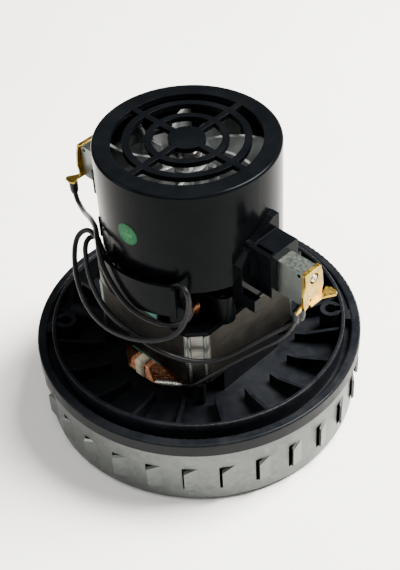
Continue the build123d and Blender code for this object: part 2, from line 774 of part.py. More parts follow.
def fan_cover():
    """Tall cap over the brushes and the cooling fan, with its grille, feet, guards and brush boxes."""
    shell = disc(cover_radius, cover_bottom, cover_top)
    shell = fillet(shell.edges().group_by(Axis.Z)[-1], cover_edge_radius)
    shell -= disc(cover_bore, cover_bottom - overrun, cover_top - cover_top_plate)
    shell -= disc(grille_opening, cover_top - cover_top_plate - overrun, cover_top + overrun)
    shell += grille()
    foot_half = stack_half - cover_foot_inset
    foot = stack_outline(foot_half, stack_corner - cover_foot_inset, stack_top, cover_foot_top)
    inner = yoke_half + cover_foot_inset
    foot -= block(-inner, inner, -inner, inner, stack_top - overrun, cover_foot_top + overrun)
    foot -= block(-cover_foot_opening, cover_foot_opening, -stack_half, stack_half,
                  stack_top - overrun, cover_foot_top + overrun)
    shell += foot
    for azimuth in cover_leg_azimuths:
        edges = (azimuth - cover_leg_width / 2, azimuth + cover_leg_width / 2)
        shell += sector(cover_radius, cover_bore, stack_top, cover_bottom, *edges)
        toe = (max(cover_radius, cover_toe_reach), min(cover_bore, cover_toe_reach))
        shell += sector(*toe, stack_top, cover_foot_top, *edges)
    half = bracket_arm_width / 2
    ledge = block(bracket_post_inner, cover_bore + cover_wall / 2, -half, half,
                  bracket_post_bottom, bracket_bottom)
    hole = post(bracket_screw_place, 0, bracket_screw_radius + running_clearance,
                bracket_post_bottom - overrun, bracket_bottom + overrun)
    ledge -= hole
    shell += [Rot(0, 0, azimuth) * ledge for azimuth in bracket_arm_azimuths]
    step = ring(cover_radius + overrun, cover_radius - cover_step, cover_bottom - overrun, cover_step_height)
    step_start = guard_rib_azimuths[1] + guard_lip_angle
    step_end = guard_rib_azimuths[0] - guard_lip_angle
    step &= sector(guard_inner, cover_bore, cover_bottom - overrun, cover_step_height, step_start, step_end)
    for side in (0, 180):
        turn = Rot(0, 0, side)
        shell += turn * cable_guard()
        shell += turn * lead_horn()
        shell -= turn * step
        shell += turn * brush_box()
        shell -= turn * holder_passage()
        place = (screw_yoke_place, -screw_place)
        shell += turn * post(*place, screw_boss_radius, stack_top, screw_boss_top)
        shell -= turn * post(*place, screw_head_radius + slip_clearance,
                             screw_boss_top - screw_boss_recess, screw_boss_top + overrun)
        shell -= turn * post(*place, screw_radius + slip_clearance, stack_top - overrun, screw_boss_top)
    return shell


def brush_holder():
    """Square tube that guides one brush, for the side on +X."""
    half_width, half_height = holder_width / 2, holder_height / 2
    low, high = holder_centre - half_height, holder_centre + half_height
    body = block(holder_inner_end, holder_outer_end, -half_width, half_width, low, high)
    bore_half = brush_width / 2 + slip_clearance
    bore_height = brush_height / 2 + slip_clearance
    body -= block(holder_inner_end - overrun, holder_outer_end + overrun, -bore_half, bore_half,
                  holder_centre - bore_height, holder_centre + bore_height)
    place = Pos(holder_outer_end - holder_eyelet_inset, 0, high - holder_eyelet_inset)
    return body - place * Rot(90, 0, 0) * Cylinder(holder_eyelet_radius, holder_width + overrun)


def terminal_outline(shares):
    """Outline of one of a terminal's sheets in Y and Z, from shares of the holder's width and height."""
    return [(holder_width * across, holder_centre + holder_height * up) for across, up in shares]


def brush_terminal(crimps):
    """Brass sheet folded double over a holder's outer end, with a tab and crimps, for the side on +X."""
    back_high = holder_outer_end + terminal_sheet
    face_low = back_high + terminal_gap
    face_high = face_low + terminal_sheet
    body = along_x(terminal_outline(terminal_back_shares), holder_outer_end, back_high)
    face = along_x(terminal_outline(terminal_face_shares), face_low, face_high)
    rivet_across, rivet_up = terminal_outline([rivet_shares])[0]
    pin_across, pin_up = terminal_outline([terminal_pin_shares])[0]
    face -= Pos(face_low, rivet_across, rivet_up) * Rot(0, 90, 0) * Cylinder(rivet_hole, overrun)
    face -= Pos(face_low, pin_across, pin_up) * Rot(0, 90, 0) * Cylinder(terminal_pin_radius, overrun)
    fold_low, fold_high = [holder_width * across for across, up in terminal_face_shares[:2]]
    fold_bottom = terminal_top - terminal_sheet
    body += block(holder_outer_end, face_high, fold_low, fold_high, fold_bottom, terminal_top)
    plan = [(holder_outer_end + holder_width * out, holder_width * across)
            for out, across in terminal_tab_shares]
    body += face
    body += upright(plan, tab_top - terminal_sheet, tab_top)
    for reach, place, top, radius, diameter in crimps:
        body += post(holder_outer_end + reach, place, radius, top - crimp_length, top)
        body -= post(holder_outer_end + reach, place, diameter / 2 + running_clearance,
                     top - crimp_length - overrun, top - terminal_sheet)
    hole = Pos(holder_outer_end, rivet_across, rivet_up) * Rot(0, 90, 0)
    return body - hole * Cylinder(rivet_radius / 2, terminal_sheet * 2)


def terminal_rivet():
    """Rivet through a terminal's inner sheet, for the side on +X."""
    high = holder_outer_end + terminal_sheet
    across, up = terminal_outline([rivet_shares])[0]
    head = Pos(high, across, up) * Rot(0, 90, 0) * Cylinder(rivet_radius, rivet_height, align=LOW)
    head = fillet(head.edges().group_by(Axis.X)[-1], rivet_height / 3)
    shank = Cylinder(rivet_radius / 2 - press_clearance, terminal_sheet, align=LOW)
    return head + Pos(holder_outer_end, across, up) * Rot(0, 90, 0) * shank


def carbon_brush():
    """Carbon block with its end hollowed to the commutator, for the side on +X."""
    half_width, half_height = brush_width / 2, brush_height / 2
    body = block(commutator_radius * cos(asin(half_width / commutator_radius)) - overrun, brush_outer_end,
                 -half_width, half_width, holder_centre - half_height, holder_centre + half_height)
    return body - disc(brush_inner_end, stack_top, cover_top)


def brush_spring():
    """Spring between a brush and its terminal, for the side on +X."""
    start = brush_outer_end + spring_wire / 2 + running_clearance
    end = holder_outer_end - spring_wire / 2 - running_clearance
    pitch = (end - start) / spring_turns
    points = []
    for k in range(4 * spring_turns + 1):
        angle = radians(45 + 90 * k)
        reach = spring_radius * sqrt(2)
        points.append((start + pitch * k / 4, reach * cos(angle), holder_centre + reach * sin(angle)))
    bends = [spring_bend_share * spring_radius] * (len(points) - 2)
    return tube(points, spring_wire, bends)[0]


def stack_screws():
    """Two long screws through the cover's bosses and the stack."""
    solids = []
    for side in (1, -1):
        place = (side * screw_yoke_place, -side * screw_place)
        head_bottom = screw_boss_top - screw_boss_recess
        head = post(*place, screw_head_radius, head_bottom, head_bottom + screw_head_height)
        head = fillet(head.edges().group_by(Axis.Z)[-1], screw_head_height / 4)
        recess_bottom = head_bottom + screw_head_height / 2
        recess = hexagon(screw_head_radius, recess_bottom, recess_bottom + screw_head_height)
        head -= Pos(*place, 0) * recess
        solids.append(head + post(*place, screw_radius, screw_end, head_bottom))
    return Compound(solids)


def upper_bearing_bracket():
    """Four-armed bracket inside the cover that holds the upper bearing."""
    seat = bearing_radius + press_clearance
    top = upper_bearing_top + bearing_lip
    body = disc(seat + bearing_wall, bracket_bottom, top)
    half = bracket_arm_width / 2
    arm = block(bearing_radius, cover_bore - slip_clearance * 2, -half, half,
                bracket_bottom, bracket_bottom + bracket_arm_height)
    arm &= disc(cover_bore - slip_clearance, bracket_bottom, top)
    arm -= post(bracket_screw_place, 0, bracket_screw_radius + running_clearance,
                bracket_bottom - overrun, top)
    body += [Rot(0, 0, azimuth) * arm for azimuth in bracket_arm_azimuths]
    body -= disc(seat, bracket_bottom - overrun, upper_bearing_top)
    return body - disc(bearing_radius - bearing_lip_land, bracket_bottom - overrun, top + overrun)


def bracket_screws():
    """Four small screws that hold the bracket to the cover's ledges."""
    top = bracket_bottom + bracket_arm_height
    screw = post(bracket_screw_place, 0, bracket_screw_radius, top - bracket_screw_length, top)
    head = post(bracket_screw_place, 0, bracket_screw_head, top, top + bracket_screw_head_height)
    screw += fillet(head.edges().group_by(Axis.Z)[-1], bracket_screw_head_height / 3)
    return Compound([Rot(0, 0, azimuth) * screw for azimuth in bracket_arm_azimuths])


def splice():
    """Tinned crimp that joins the coil's end to a lead."""
    axis = Vector(*splice_end) - Vector(*splice_start)
    start = Plane(Vector(*splice_start), z_dir=axis)
    body = extrude(start * Circle(splice_radius), axis.length)
    return fillet(body.edges(), splice_radius / 3)


def inspection_sticker():
    """Round paper dot on the cover's wall."""
    skin = ring(cover_radius + sticker_thickness, cover_radius, sticker_height - cover_radius,
                sticker_height + cover_radius)
    spot = Pos(cover_radius, 0, sticker_height) * Rot(0, 90, 0) * Cylinder(sticker_radius, cover_wall * 2)
    return Rot(0, 0, sticker_azimuth) * (skin & spot)


# Routes of the leads, points chosen by hand
left_lead_route = [
    (-64.0, -9.3, 88.5), (-64.0, -9.3, 80.2), (-56.5, -12.8, 80.6), (-46.5, -18.4, 85.6),
    (-37.0, -23.8, 92.4), (-27.6, -29.5, 98.6), (-21.3, -32.9, 100.8), (-14.6, -38.1, 101.8),
    (-8.0, -43.1, 98.2), (-2.7, -43.8, 90.5), (4.6, -43.6, 82.8), (12.0, -42.0, 79.2),
    (18.8, -39.4, 77.8), (24.2, -35.8, 77.4), (26.7, -30.2, 78.2), (23.8, -25.1, 81.0),
    (19.4, -25.8, 83.2), (15.0, -25.5, 82.4), (14.6, -25.5, 78.2)]
loop_lead_route = [
    (0.6, -28.1, 78.2), (0.5, -28.6, 82.0), (-1.0, -37.4, 86.0), (-7.4, -38.2, 89.5),
    (-14.5, -35.9, 92.2), (-21.1, -32.5, 94.4), (-28.6, -31.3, 95.6), (-32.2, -35.1, 92.0),
    (-30.3, -39.5, 83.8), (-25.0, -43.3, 75.0), (-16.9, -46.4, 69.4), (-6.8, -48.1, 67.4),
    (3.4, -48.1, 68.0), (13.2, -46.1, 69.8), (22.0, -42.2, 72.6), (27.7, -37.5, 76.6),
    (29.4, -33.6, 83.5), (29.6, -32.0, 91.0), (28.3, -31.9, 96.0), (23.7, -30.6, 96.2),
    (19.4, -33.5, 92.8), (15.8, -35.4, 89.4), (11.6, -35.8, 86.0), (7.0, -31.4, 83.2),
    (6.2, -28.2, 78.2)]
right_lead_route = [
    (61.3, -3.7, 87.5), (61.3, -3.7, 81.0), (57.0, -7.2, 77.4), (49.5, -12.0, 69.8),
    (42.2, -19.0, 62.2), (35.5, -28.2, 58.6), (27.6, -36.0, 60.6), (17.8, -41.6, 64.6),
    (7.0, -44.6, 69.6), (-3.6, -45.7, 73.2), (-12.6, -43.8, 76.6), (-19.9, -40.8, 81.2),
    (-24.5, -37.7, 85.6), (-27.6, -35.0, 88.6), (-29.2, -31.8, 90.0), (-27.4, -29.4, 91.0),
    (-24.2, -29.9, 91.2), (-20.2, -33.0, 89.9), (-14.5, -35.8, 87.4), (-9.8, -35.5, 84.6),
    (-8.0, -29.4, 82.0), (-7.4, -27.9, 78.2)]
field_lead_route = [
    (22.4, -32.6, 39.6), (25.0, -31.55, 40.2), (29.8, -33.6, 44.8), (35.8, -29.2, 51.8),
    (43.6, -20.9, 59.9), (50.0, -14.7, 65.8), (57.0, -9.8, 72.4), (61.3, -6.4, 80.6),
    (61.3, -6.4, 87.5)]


def lead(name, route, diameter):
    """Insulated lead on its route, with its bends printed."""
    radii = corner_radii(route)
    solid, path = tube(route, diameter, radii)
    section = pi * (diameter / 2) ** 2
    print(name, "length %.1f" % path.length, "volume over section times length %.3f"
          % (solid.volume / (section * path.length)), "radii", [round(radius, 1) for radius in radii])
    return solid


def both_sides(name, solid):
    """Writes a piece for +X and its copy, turned half round, for -X."""
    save(name + "_right", solid)
    save(name + "_left", Rot(0, 0, 180) * solid)


def main():
    """Builds and writes every sub-part."""
    os.makedirs("parts", exist_ok=True)
    save("blower_drum", blower_drum())
    save("base_flange", base_flange())
    save("stator_core", stator_core())
    for name, bottom in (("lower", lower_bearing_bottom), ("upper", upper_bearing_bottom)):
        outer, inner, balls = bearing(bottom)
        save(name + "_bearing_outer_ring", outer)
        save(name + "_bearing_inner_ring", inner)
        save(name + "_bearing_balls", balls)
    coil = field_coil()
    save("front_field_coil", coil)
    save("rear_field_coil", Rot(0, 0, 180) * coil)
    insulator = coil_insulator()
    save("front_coil_insulator", insulator)
    save("rear_coil_insulator", Rot(0, 0, 180) * insulator)
    save("coil_tape", coil_tape())
    save("crimp_splice", splice())
    save("rotor_shaft", disc(shaft_radius, shaft_tail, shaft_top))
    save("armature_core", armature_core())
    save("armature_winding", armature_winding())
    save("commutator", commutator())
    save("commutator_hub", ring(commutator_radius - commutator_wall, shaft_radius + press_clearance,
                                commutator_bottom, commutator_top))
    save("rotor_spacers", rotor_spacers())
    back, front, blades = impeller()
    save("impeller_back_plate", back)
    save("impeller_front_plate", front)
    save("impeller_blades", blades)
    save("impeller_washers", impeller_washers())
    nut_top = impeller_top - impeller_sheet - washer_height
    bore = disc(shaft_radius + press_clearance, 0, cover_top)
    save("impeller_nut", hexagon(nut_across, nut_top - nut_height, nut_top) - bore)
    save("cooling_fan", cooling_fan())
    hub_top = fan_bottom + fan_hub_height
    save("fan_nut", hexagon(fan_nut_across, hub_top, hub_top + fan_nut_height) - bore)
    save("fan_cover", fan_cover())
    save("upper_bearing_bracket", upper_bearing_bracket())
    save("bracket_screws", bracket_screws())
    save("stack_screws", stack_screws())
    both_sides("brush_holder", brush_holder())
    right_crimps = [(leg_crimp_reach, leg_crimp_place, leg_crimp_top, crimp_radius, lead_diameter),
                    (leg_crimp_reach, small_crimp_place, leg_crimp_top, small_crimp_radius,
                     field_lead_diameter)]
    save("brush_terminal_right", brush_terminal(right_crimps))
    left_crimps = [(tab_crimp_reach, tab_crimp_place, tab_crimp_top, crimp_radius, lead_diameter)]
    save("brush_terminal_left", Rot(0, 0, 180) * brush_terminal(left_crimps))
    both_sides("terminal_rivet", terminal_rivet())
    both_sides("carbon_brush", carbon_brush())
    both_sides("brush_spring", brush_spring())
    save("inspection_sticker", inspection_sticker())
    save("left_brush_lead", lead("left brush lead", left_lead_route, lead_diameter))
    save("loop_lead", lead("loop lead", loop_lead_route, lead_diameter))
    save("right_brush_lead", lead("right brush lead", right_lead_route, lead_diameter))
    save("field_lead", lead("field lead", field_lead_route, field_lead_diameter))


main()
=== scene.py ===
# %% [markdown]
# # A vacuum motor unit, from a measured model to a picture
#
# The object is the motor of a vacuum cleaner: a tall black cover over a square
# steel stack, standing in a round black dish on a louvred sheet drum. The solid
# pieces come ready measured. What this lesson adds is what the eye reads: how
# moulded plastic, zinc, brass, copper and rubber take the light, and the soft
# pieces that a solid model only hints at, which are the leads and the windings.
#
# ## Load the measured pieces
#
# Everything is in metres, with Z up along the motor's axis and the drum standing
# on Z = 0.

# %% Load the frame
import bpy
import json
import random
from math import cos, pi, radians, sin
from mathutils import Matrix, Vector


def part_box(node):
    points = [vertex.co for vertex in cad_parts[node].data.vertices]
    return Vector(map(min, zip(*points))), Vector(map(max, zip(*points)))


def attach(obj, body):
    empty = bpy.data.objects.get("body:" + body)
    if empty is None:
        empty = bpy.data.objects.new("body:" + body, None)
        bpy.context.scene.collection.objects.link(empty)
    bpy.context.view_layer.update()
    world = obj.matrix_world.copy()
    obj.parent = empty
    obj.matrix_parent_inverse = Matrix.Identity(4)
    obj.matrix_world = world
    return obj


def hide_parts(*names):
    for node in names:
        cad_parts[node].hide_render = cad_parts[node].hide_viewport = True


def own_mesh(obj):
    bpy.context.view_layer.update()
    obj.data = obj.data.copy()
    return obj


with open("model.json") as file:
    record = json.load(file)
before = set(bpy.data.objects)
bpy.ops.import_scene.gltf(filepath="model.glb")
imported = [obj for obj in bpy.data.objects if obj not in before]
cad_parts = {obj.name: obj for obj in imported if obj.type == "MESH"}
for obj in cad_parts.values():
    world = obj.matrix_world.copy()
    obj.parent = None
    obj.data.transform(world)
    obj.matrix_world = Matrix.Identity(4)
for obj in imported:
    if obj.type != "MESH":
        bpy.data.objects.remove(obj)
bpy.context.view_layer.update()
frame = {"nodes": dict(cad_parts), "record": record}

nodes = frame["nodes"]
mm = 0.001

# %% [markdown]
# ## The camera
#
# The picture this follows looks down on the motor from about 43 degrees, from a
# little more than half a metre away, and leans a few degrees to one side. A camera
# could be placed by eye, but a small error in its height changes every ellipse in
# the picture. These angles were worked out from the rim, the cover and the grille,
# whose circles are known, so one fixed camera serves the whole lesson.

# %% Place the camera
scene = bpy.context.scene
camera_turn = radians(46.5)
camera_height = radians(42.80)
camera_lean = radians(-3.50)
camera_distance = 0.5045
camera_target = Vector((0.00112, 0.00118, 0.05948))
camera_lens = 74.38
camera_film = 36.0


def camera_frame():
    """Axes of the camera: its right, its up and the way back from the target."""
    back = Vector((sin(camera_turn) * cos(camera_height), -cos(camera_turn) * cos(camera_height),
                   sin(camera_height)))
    right = Vector((cos(camera_turn), sin(camera_turn), 0.0))
    up = back.cross(right)
    leaning_right = right * cos(camera_lean) + up * sin(camera_lean)
    leaning_up = up * cos(camera_lean) - right * sin(camera_lean)
    return leaning_right, leaning_up, back


right, up, back = camera_frame()
camera_data = bpy.data.cameras.new("studio_camera")
camera_data.sensor_fit = "VERTICAL"
camera_data.sensor_height = camera_film
camera_data.lens = camera_lens
camera_data.clip_start = 0.01
camera = bpy.data.objects.new("studio_camera", camera_data)
turn = Matrix((right, up, back)).transposed().to_4x4()
camera.matrix_world = Matrix.Translation(camera_target + back * camera_distance) @ turn
scene.collection.objects.link(camera)
scene.camera = camera
print("camera at", [round(v, 4) for v in camera.matrix_world.translation])

# %% [markdown]
# ## Nodes for a finish
#
# Every finish below is a small network of nodes. Writing each network out in full
# would hide what matters, so a short helper adds a node, sets its values and wires
# its inputs in one line. A finish then reads as a list: some noise, a ramp, a bump.
#
# Two habits are worth learning here. Coordinates come from the object itself, so a
# grain of 0.5 mm is written as a scale of 2000 per metre. And a number that is the
# same all over the surface is typed on the shader's own socket.

# %% Helpers for node networks
bevel_samples = 6


def new_finish(name, colour, roughness, metallic=0.0, **sockets):
    """Material with one shader, its fixed values set on the shader."""
    material = bpy.data.materials.new(name)
    material.use_nodes = True
    shader = material.node_tree.nodes["Principled BSDF"]
    shader.inputs["Base Color"].default_value = (*colour, 1.0)
    shader.inputs["Roughness"].default_value = roughness
    shader.inputs["Metallic"].default_value = metallic
    for socket, value in sockets.items():
        shader.inputs[socket.replace("_", " ")].default_value = value
    return material, shader


def add(material, kind, inputs=None, **settings):
    """Adds a node. An input is a number, a colour, a socket or another node's first output."""
    node = material.node_tree.nodes.new("ShaderNode" + kind)
    for setting, value in settings.items():
        setattr(node, setting, value)
    for name, value in (inputs or {}).items():
        socket = node.inputs[name]
        if isinstance(value, bpy.types.NodeSocket):
            material.node_tree.links.new(value, socket)
        elif isinstance(value, bpy.types.Node):
            material.node_tree.links.new(value.outputs[0], socket)
        else:
            socket.default_value = value
    return node


def wire(material, source, target):
    """Joins an output, or a node's first output, to an input."""
    output = source.outputs[0] if isinstance(source, bpy.types.Node) else source
    material.node_tree.links.new(output, target)


def place(material, stretch=(1.0, 1.0, 1.0)):
    """Object coordinates, stretched to give a direction to what is drawn with them."""
    here = add(material, "TexCoord").outputs["Object"]
    return add(material, "Mapping", {"Vector": here, "Scale": stretch})


def noise(material, where, scale, detail=3.0, roughness=0.5):
    """Cloudy value from 0 to 1, with its scale in spots per metre."""
    cloud = add(material, "TexNoise",
                {"Vector": where, "Scale": scale, "Detail": detail, "Roughness": roughness})
    return cloud.outputs["Fac"]


def span(material, value, low, high, from_low=0.3, from_high=0.7):
    """Moves a value from one range to another."""
    moved = add(material, "MapRange", {"Value": value, "From Min": from_low, "From Max": from_high,
                                       "To Min": low, "To Max": high})
    return moved.outputs["Result"]


def shades(material, value, *stops):
    """Ramp of colours, each stop a place from 0 to 1 and a colour."""
    ramp = add(material, "ValToRGB", {"Fac": value})
    for k, (place_on_ramp, colour) in enumerate(stops):
        stop = ramp.color_ramp.elements[k] if k < 2 else ramp.color_ramp.elements.new(place_on_ramp)
        stop.position = place_on_ramp
        stop.color = (*colour, 1.0)
    return ramp.outputs["Color"]


def relief(material, height, depth, edge=0.0, strength=1.0):
    """Bump of a given depth in metres, over edges that look rounded by a given radius."""
    bump = add(material, "Bump", {"Height": height, "Distance": depth, "Strength": strength})
    if edge:
        rounded = add(material, "Bevel", {"Radius": edge}, samples=bevel_samples)
        wire(material, rounded, bump.inputs["Normal"])
    return bump


print("helpers ready")

# %% [markdown]
# ## Black rubber for the leads
#
# The leads are limp, plastic-covered wires about 2 mm thick. Their cover is almost
# black, but it isn't glossy: it has a soft, wide highlight, broken a little by
# handling marks. A mid roughness with slow noise gives that, and a fine noise in
# the bump keeps the highlight from looking like glass.

# %% Lead finish
def lead_finish(name, colour):
    """Soft extruded insulation with handling marks."""
    material, shader = new_finish(name, colour, 0.44, IOR=1.24)
    where = place(material)
    wire(material, span(material, noise(material, where, 260.0), 0.36, 0.52), shader.inputs["Roughness"])
    bump = relief(material, noise(material, where, 2400.0, detail=2.0), depth=0.00002, strength=0.35)
    wire(material, bump, shader.inputs["Normal"])
    return material


lead_black = lead_finish("lead_black", (0.0045, 0.0047, 0.0055))
print("finish", lead_black.name)

# %% [markdown]
# ## Pieces of wire and pieces of mesh
#
# The pieces added below come in two kinds. A wire is a curve with a round bevel: it
# needs only the points of its middle line. Anything else is a mesh, built from its
# points and faces, and most of these are rings of points joined into a skin. A few
# helpers keep the cells that follow down to what is special about each piece.
#
# The spline's order is set after its points are there, because on a spline with too
# few points it falls back to straight runs.

# %% Helpers for pieces
spline_order = 3


def show(name, data):
    """Puts a curve or a mesh into the scene as a piece of its own."""
    piece = bpy.data.objects.new(name, data)
    scene.collection.objects.link(piece)
    return piece


def round_wire(name, radius, roundness, steps, material):
    """Empty curve whose splines will show as round wire."""
    curve = bpy.data.curves.new(name + "_curve", "CURVE")
    curve.dimensions = "3D"
    curve.bevel_depth = radius
    curve.bevel_resolution = roundness
    curve.resolution_u = steps
    curve.materials.append(material)
    return curve


def add_spline(curve, points):
    """Smooth spline drawn by its points, starting on the first and ending on the last."""
    spline = curve.splines.new("NURBS")
    spline.points.add(len(points) - 1)
    for target, point in zip(spline.points, points):
        target.co = (*point, 1.0)
    spline.order_u = spline_order
    spline.use_endpoint_u = True
    return spline


def ring_angles(sides):
    """Angles of the corners of one ring."""
    return [2 * pi * j / sides for j in range(sides)]


def tube_faces(rings, sides, first):
    """Faces between rings of points, and a cap at each end."""
    faces = []
    for k in range(rings):
        for j in range(sides):
            a, b = first + k * sides + j, first + k * sides + (j + 1) % sides
            faces.append((a, b, b + sides, a + sides))
    faces.append(tuple(first + j for j in reversed(range(sides))))
    faces.append(tuple(first + rings * sides + j for j in range(sides)))
    return faces


def smooth_mesh(name, points, faces, material):
    """Mesh piece with soft shading."""
    mesh = bpy.data.meshes.new(name)
    mesh.from_pydata(points, [], faces)
    mesh.shade_smooth()
    mesh.materials.append(material)
    return show(name, mesh)


print("helpers for wire and mesh ready")

# %% [markdown]
# ## The leads
#
# Three leads run from the front coil to the brush terminals, and a fourth loops back
# to the coil. A wire could be bent from straight pieces and arcs, but a real one
# never has a straight stretch: it is one smooth curve. So each lead is a NURBS
# spline of order 3, whose points pull the curve without lying on it, and the
# curve's bevel gives it its round section.

# %% Points of the leads
lead_thickness = 0.0022
field_lead_thickness = 0.0015
left_lead_route = [
    (-0.064, -0.0093, 0.0885), (-0.064, -0.0093, 0.0802), (-0.0565, -0.0128, 0.0806),
    (-0.0465, -0.0184, 0.0856), (-0.037, -0.0238, 0.0924), (-0.0276, -0.0295, 0.0986),
    (-0.0213, -0.0329, 0.1008), (-0.0146, -0.0381, 0.1018), (-0.008, -0.0431, 0.0982),
    (-0.0027, -0.0438, 0.0905), (0.0046, -0.0436, 0.0828), (0.012, -0.042, 0.0792),
    (0.0188, -0.0394, 0.0778), (0.0242, -0.0358, 0.0774), (0.0267, -0.0302, 0.0782),
    (0.0238, -0.0251, 0.081), (0.0194, -0.0258, 0.0832), (0.015, -0.0255, 0.0824),
    (0.0146, -0.0255, 0.0782)]
loop_lead_route = [
    (0.0006, -0.0281, 0.0782), (0.0005, -0.0286, 0.082), (-0.001, -0.0374, 0.086),
    (-0.0074, -0.0382, 0.0895), (-0.0145, -0.0359, 0.0922), (-0.0211, -0.0325, 0.0944),
    (-0.0286, -0.0313, 0.0956), (-0.0322, -0.0351, 0.092), (-0.0303, -0.0395, 0.0838),
    (-0.025, -0.0433, 0.075), (-0.0169, -0.0464, 0.0694), (-0.0068, -0.0481, 0.0674),
    (0.0034, -0.0481, 0.068), (0.0132, -0.0461, 0.0698), (0.022, -0.0422, 0.0726),
    (0.0277, -0.0375, 0.0766), (0.0294, -0.0336, 0.0835), (0.0296, -0.032, 0.091),
    (0.0283, -0.0319, 0.096), (0.0237, -0.0306, 0.0962), (0.0194, -0.0335, 0.0928),
    (0.0158, -0.0354, 0.0894), (0.0116, -0.0358, 0.086), (0.007, -0.0314, 0.0832),
    (0.0062, -0.0282, 0.0782)]
right_lead_route = [
    (0.0613, -0.0037, 0.0875), (0.0613, -0.0037, 0.081), (0.057, -0.0072, 0.0774),
    (0.0495, -0.012, 0.0698), (0.0422, -0.019, 0.0622), (0.0355, -0.0282, 0.0586),
    (0.0276, -0.036, 0.0606), (0.0178, -0.0416, 0.0646), (0.007, -0.0446, 0.0696),
    (-0.0036, -0.0457, 0.0732), (-0.0126, -0.0438, 0.0766), (-0.0199, -0.0408, 0.0812),
    (-0.0245, -0.0377, 0.0856), (-0.0276, -0.035, 0.0886), (-0.0292, -0.0318, 0.09),
    (-0.0274, -0.0294, 0.091), (-0.0242, -0.0299, 0.0912), (-0.0202, -0.033, 0.0899),
    (-0.0145, -0.0358, 0.0874), (-0.0098, -0.0355, 0.0846), (-0.008, -0.0294, 0.082),
    (-0.0074, -0.0279, 0.0782)]
field_lead_route = [
    (0.0224, -0.0326, 0.0396), (0.025, -0.03155, 0.0402), (0.0298, -0.0336, 0.0448),
    (0.0358, -0.0292, 0.0518), (0.0436, -0.0209, 0.0599), (0.05, -0.0147, 0.0658),
    (0.057, -0.0098, 0.0724), (0.0613, -0.0064, 0.0806), (0.0613, -0.0064, 0.0875)]
all_routes = (left_lead_route, loop_lead_route, right_lead_route, field_lead_route)
print("route points", [len(route) for route in all_routes])

# %% Bend the leads
lead_roundness = 5
lead_steps = 12


def bend_lead(name, route, thickness, material):
    """Round wire along a smooth spline, standing for the solid lead of the same name."""
    curve = round_wire(name, thickness / 2, lead_roundness, lead_steps, material)
    curve.use_fill_caps = True
    add_spline(curve, route)
    wire_piece = show(name + "_wire", curve)
    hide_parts(name)
    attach(wire_piece, "motor")
    return wire_piece


def spline_length(piece):
    """Length of a curve's centre line, measured on a copy without its bevel."""
    bare = piece.copy()
    bare.data = piece.data.copy()
    bare.data.bevel_depth = 0.0
    line = bpy.data.meshes.new_from_object(bare)
    places = [v.co for v in line.vertices]
    length = sum((b - a).length for a, b in zip(places, places[1:]))
    bpy.data.objects.remove(bare)
    return length


lead_routes = {"left_brush_lead": (left_lead_route, lead_thickness),
               "loop_lead": (loop_lead_route, lead_thickness),
               "right_brush_lead": (right_lead_route, lead_thickness),
               "field_lead": (field_lead_route, field_lead_thickness)}
for lead_name, (route, thickness) in lead_routes.items():
    piece = bend_lead(lead_name, route, thickness, lead_black)
    length = spline_length(piece)
    print(lead_name, "is", round(length * 1000, 1), "mm long")

# %% [markdown]
# ## Floor and light
#
# The motor stands on white paper under soft light, so the shadow is wide and pale.
# Glossy black plastic shows mostly what it reflects. Seen from above, its upright
# walls reflect the floor, and a white floor gives them their long grey streaks. The
# strong light stands on the right and throws the shadow to the left. A weak one on
# the left makes the streak broader there, another high in front lifts the dish, and
# a small share of warm light from all round keeps the hollows from going fully black.

# %% Floor
floor_half = 6.0
floor_drop = 0.0002


def flat_sheet(name, half, height):
    """One square face at a height, made corner by corner."""
    corners = [(-half, -half, height), (half, -half, height), (half, half, height), (-half, half, height)]
    mesh = bpy.data.meshes.new(name)
    mesh.from_pydata(corners, [], [(0, 1, 2, 3)])
    return show(name, mesh)


def paper_finish():
    """White paper with a very faint, slow unevenness."""
    material, shader = new_finish("studio_paper", (0.90, 0.885, 0.85), 0.8, Specular_IOR_Level=0.2)
    where = place(material)
    tone = shades(material, noise(material, where, 9.0, detail=2.0),
                  (0.35, (0.89, 0.875, 0.84)), (0.65, (0.91, 0.897, 0.865)))
    wire(material, tone, shader.inputs["Base Color"])
    grain = noise(material, where, 900.0, detail=2.0)
    wire(material, relief(material, grain, depth=0.00005, strength=0.2), shader.inputs["Normal"])
    return material


floor = flat_sheet("studio_floor", floor_half, -floor_drop)
floor.data.materials.append(paper_finish())
print("floor", floor_half * 2, "m wide")

# %% Lights
def soft_light(name, turn, height, distance, size, power, colour):
    """Square soft light aimed at the motor, turned from the camera's side to its right."""
    azimuth = camera_turn - pi / 2 + turn
    level = Vector((cos(azimuth), sin(azimuth), 0.0)) * cos(height)
    place_from = (level + Vector((0.0, 0.0, sin(height)))) * distance
    facing = place_from.to_track_quat("Z", "Y").to_matrix().to_4x4()
    data = bpy.data.lights.new(name, "AREA")
    data.shape = "SQUARE"
    data.size = size
    data.energy = power
    data.color = colour
    light = show(name, data)
    light.matrix_world = Matrix.Translation(camera_target + place_from) @ facing
    return light


soft_light("key_light", turn=radians(104), height=radians(58), distance=1.1, size=0.55, power=88.0,
           colour=(1.0, 0.982, 0.94))
soft_light("side_light", turn=radians(-80), height=radians(22), distance=1.3, size=0.5, power=9.0,
           colour=(0.97, 0.99, 1.0))
soft_light("front_light", turn=radians(-20), height=radians(74), distance=1.4, size=0.4, power=6.0,
           colour=(1.0, 0.99, 0.97))

world = bpy.data.worlds.new("studio_air")
world.use_nodes = True
air = world.node_tree.nodes["Background"].inputs
air["Color"].default_value = (1.0, 0.975, 0.94, 1.0)
air["Strength"].default_value = 0.27
scene.world = world

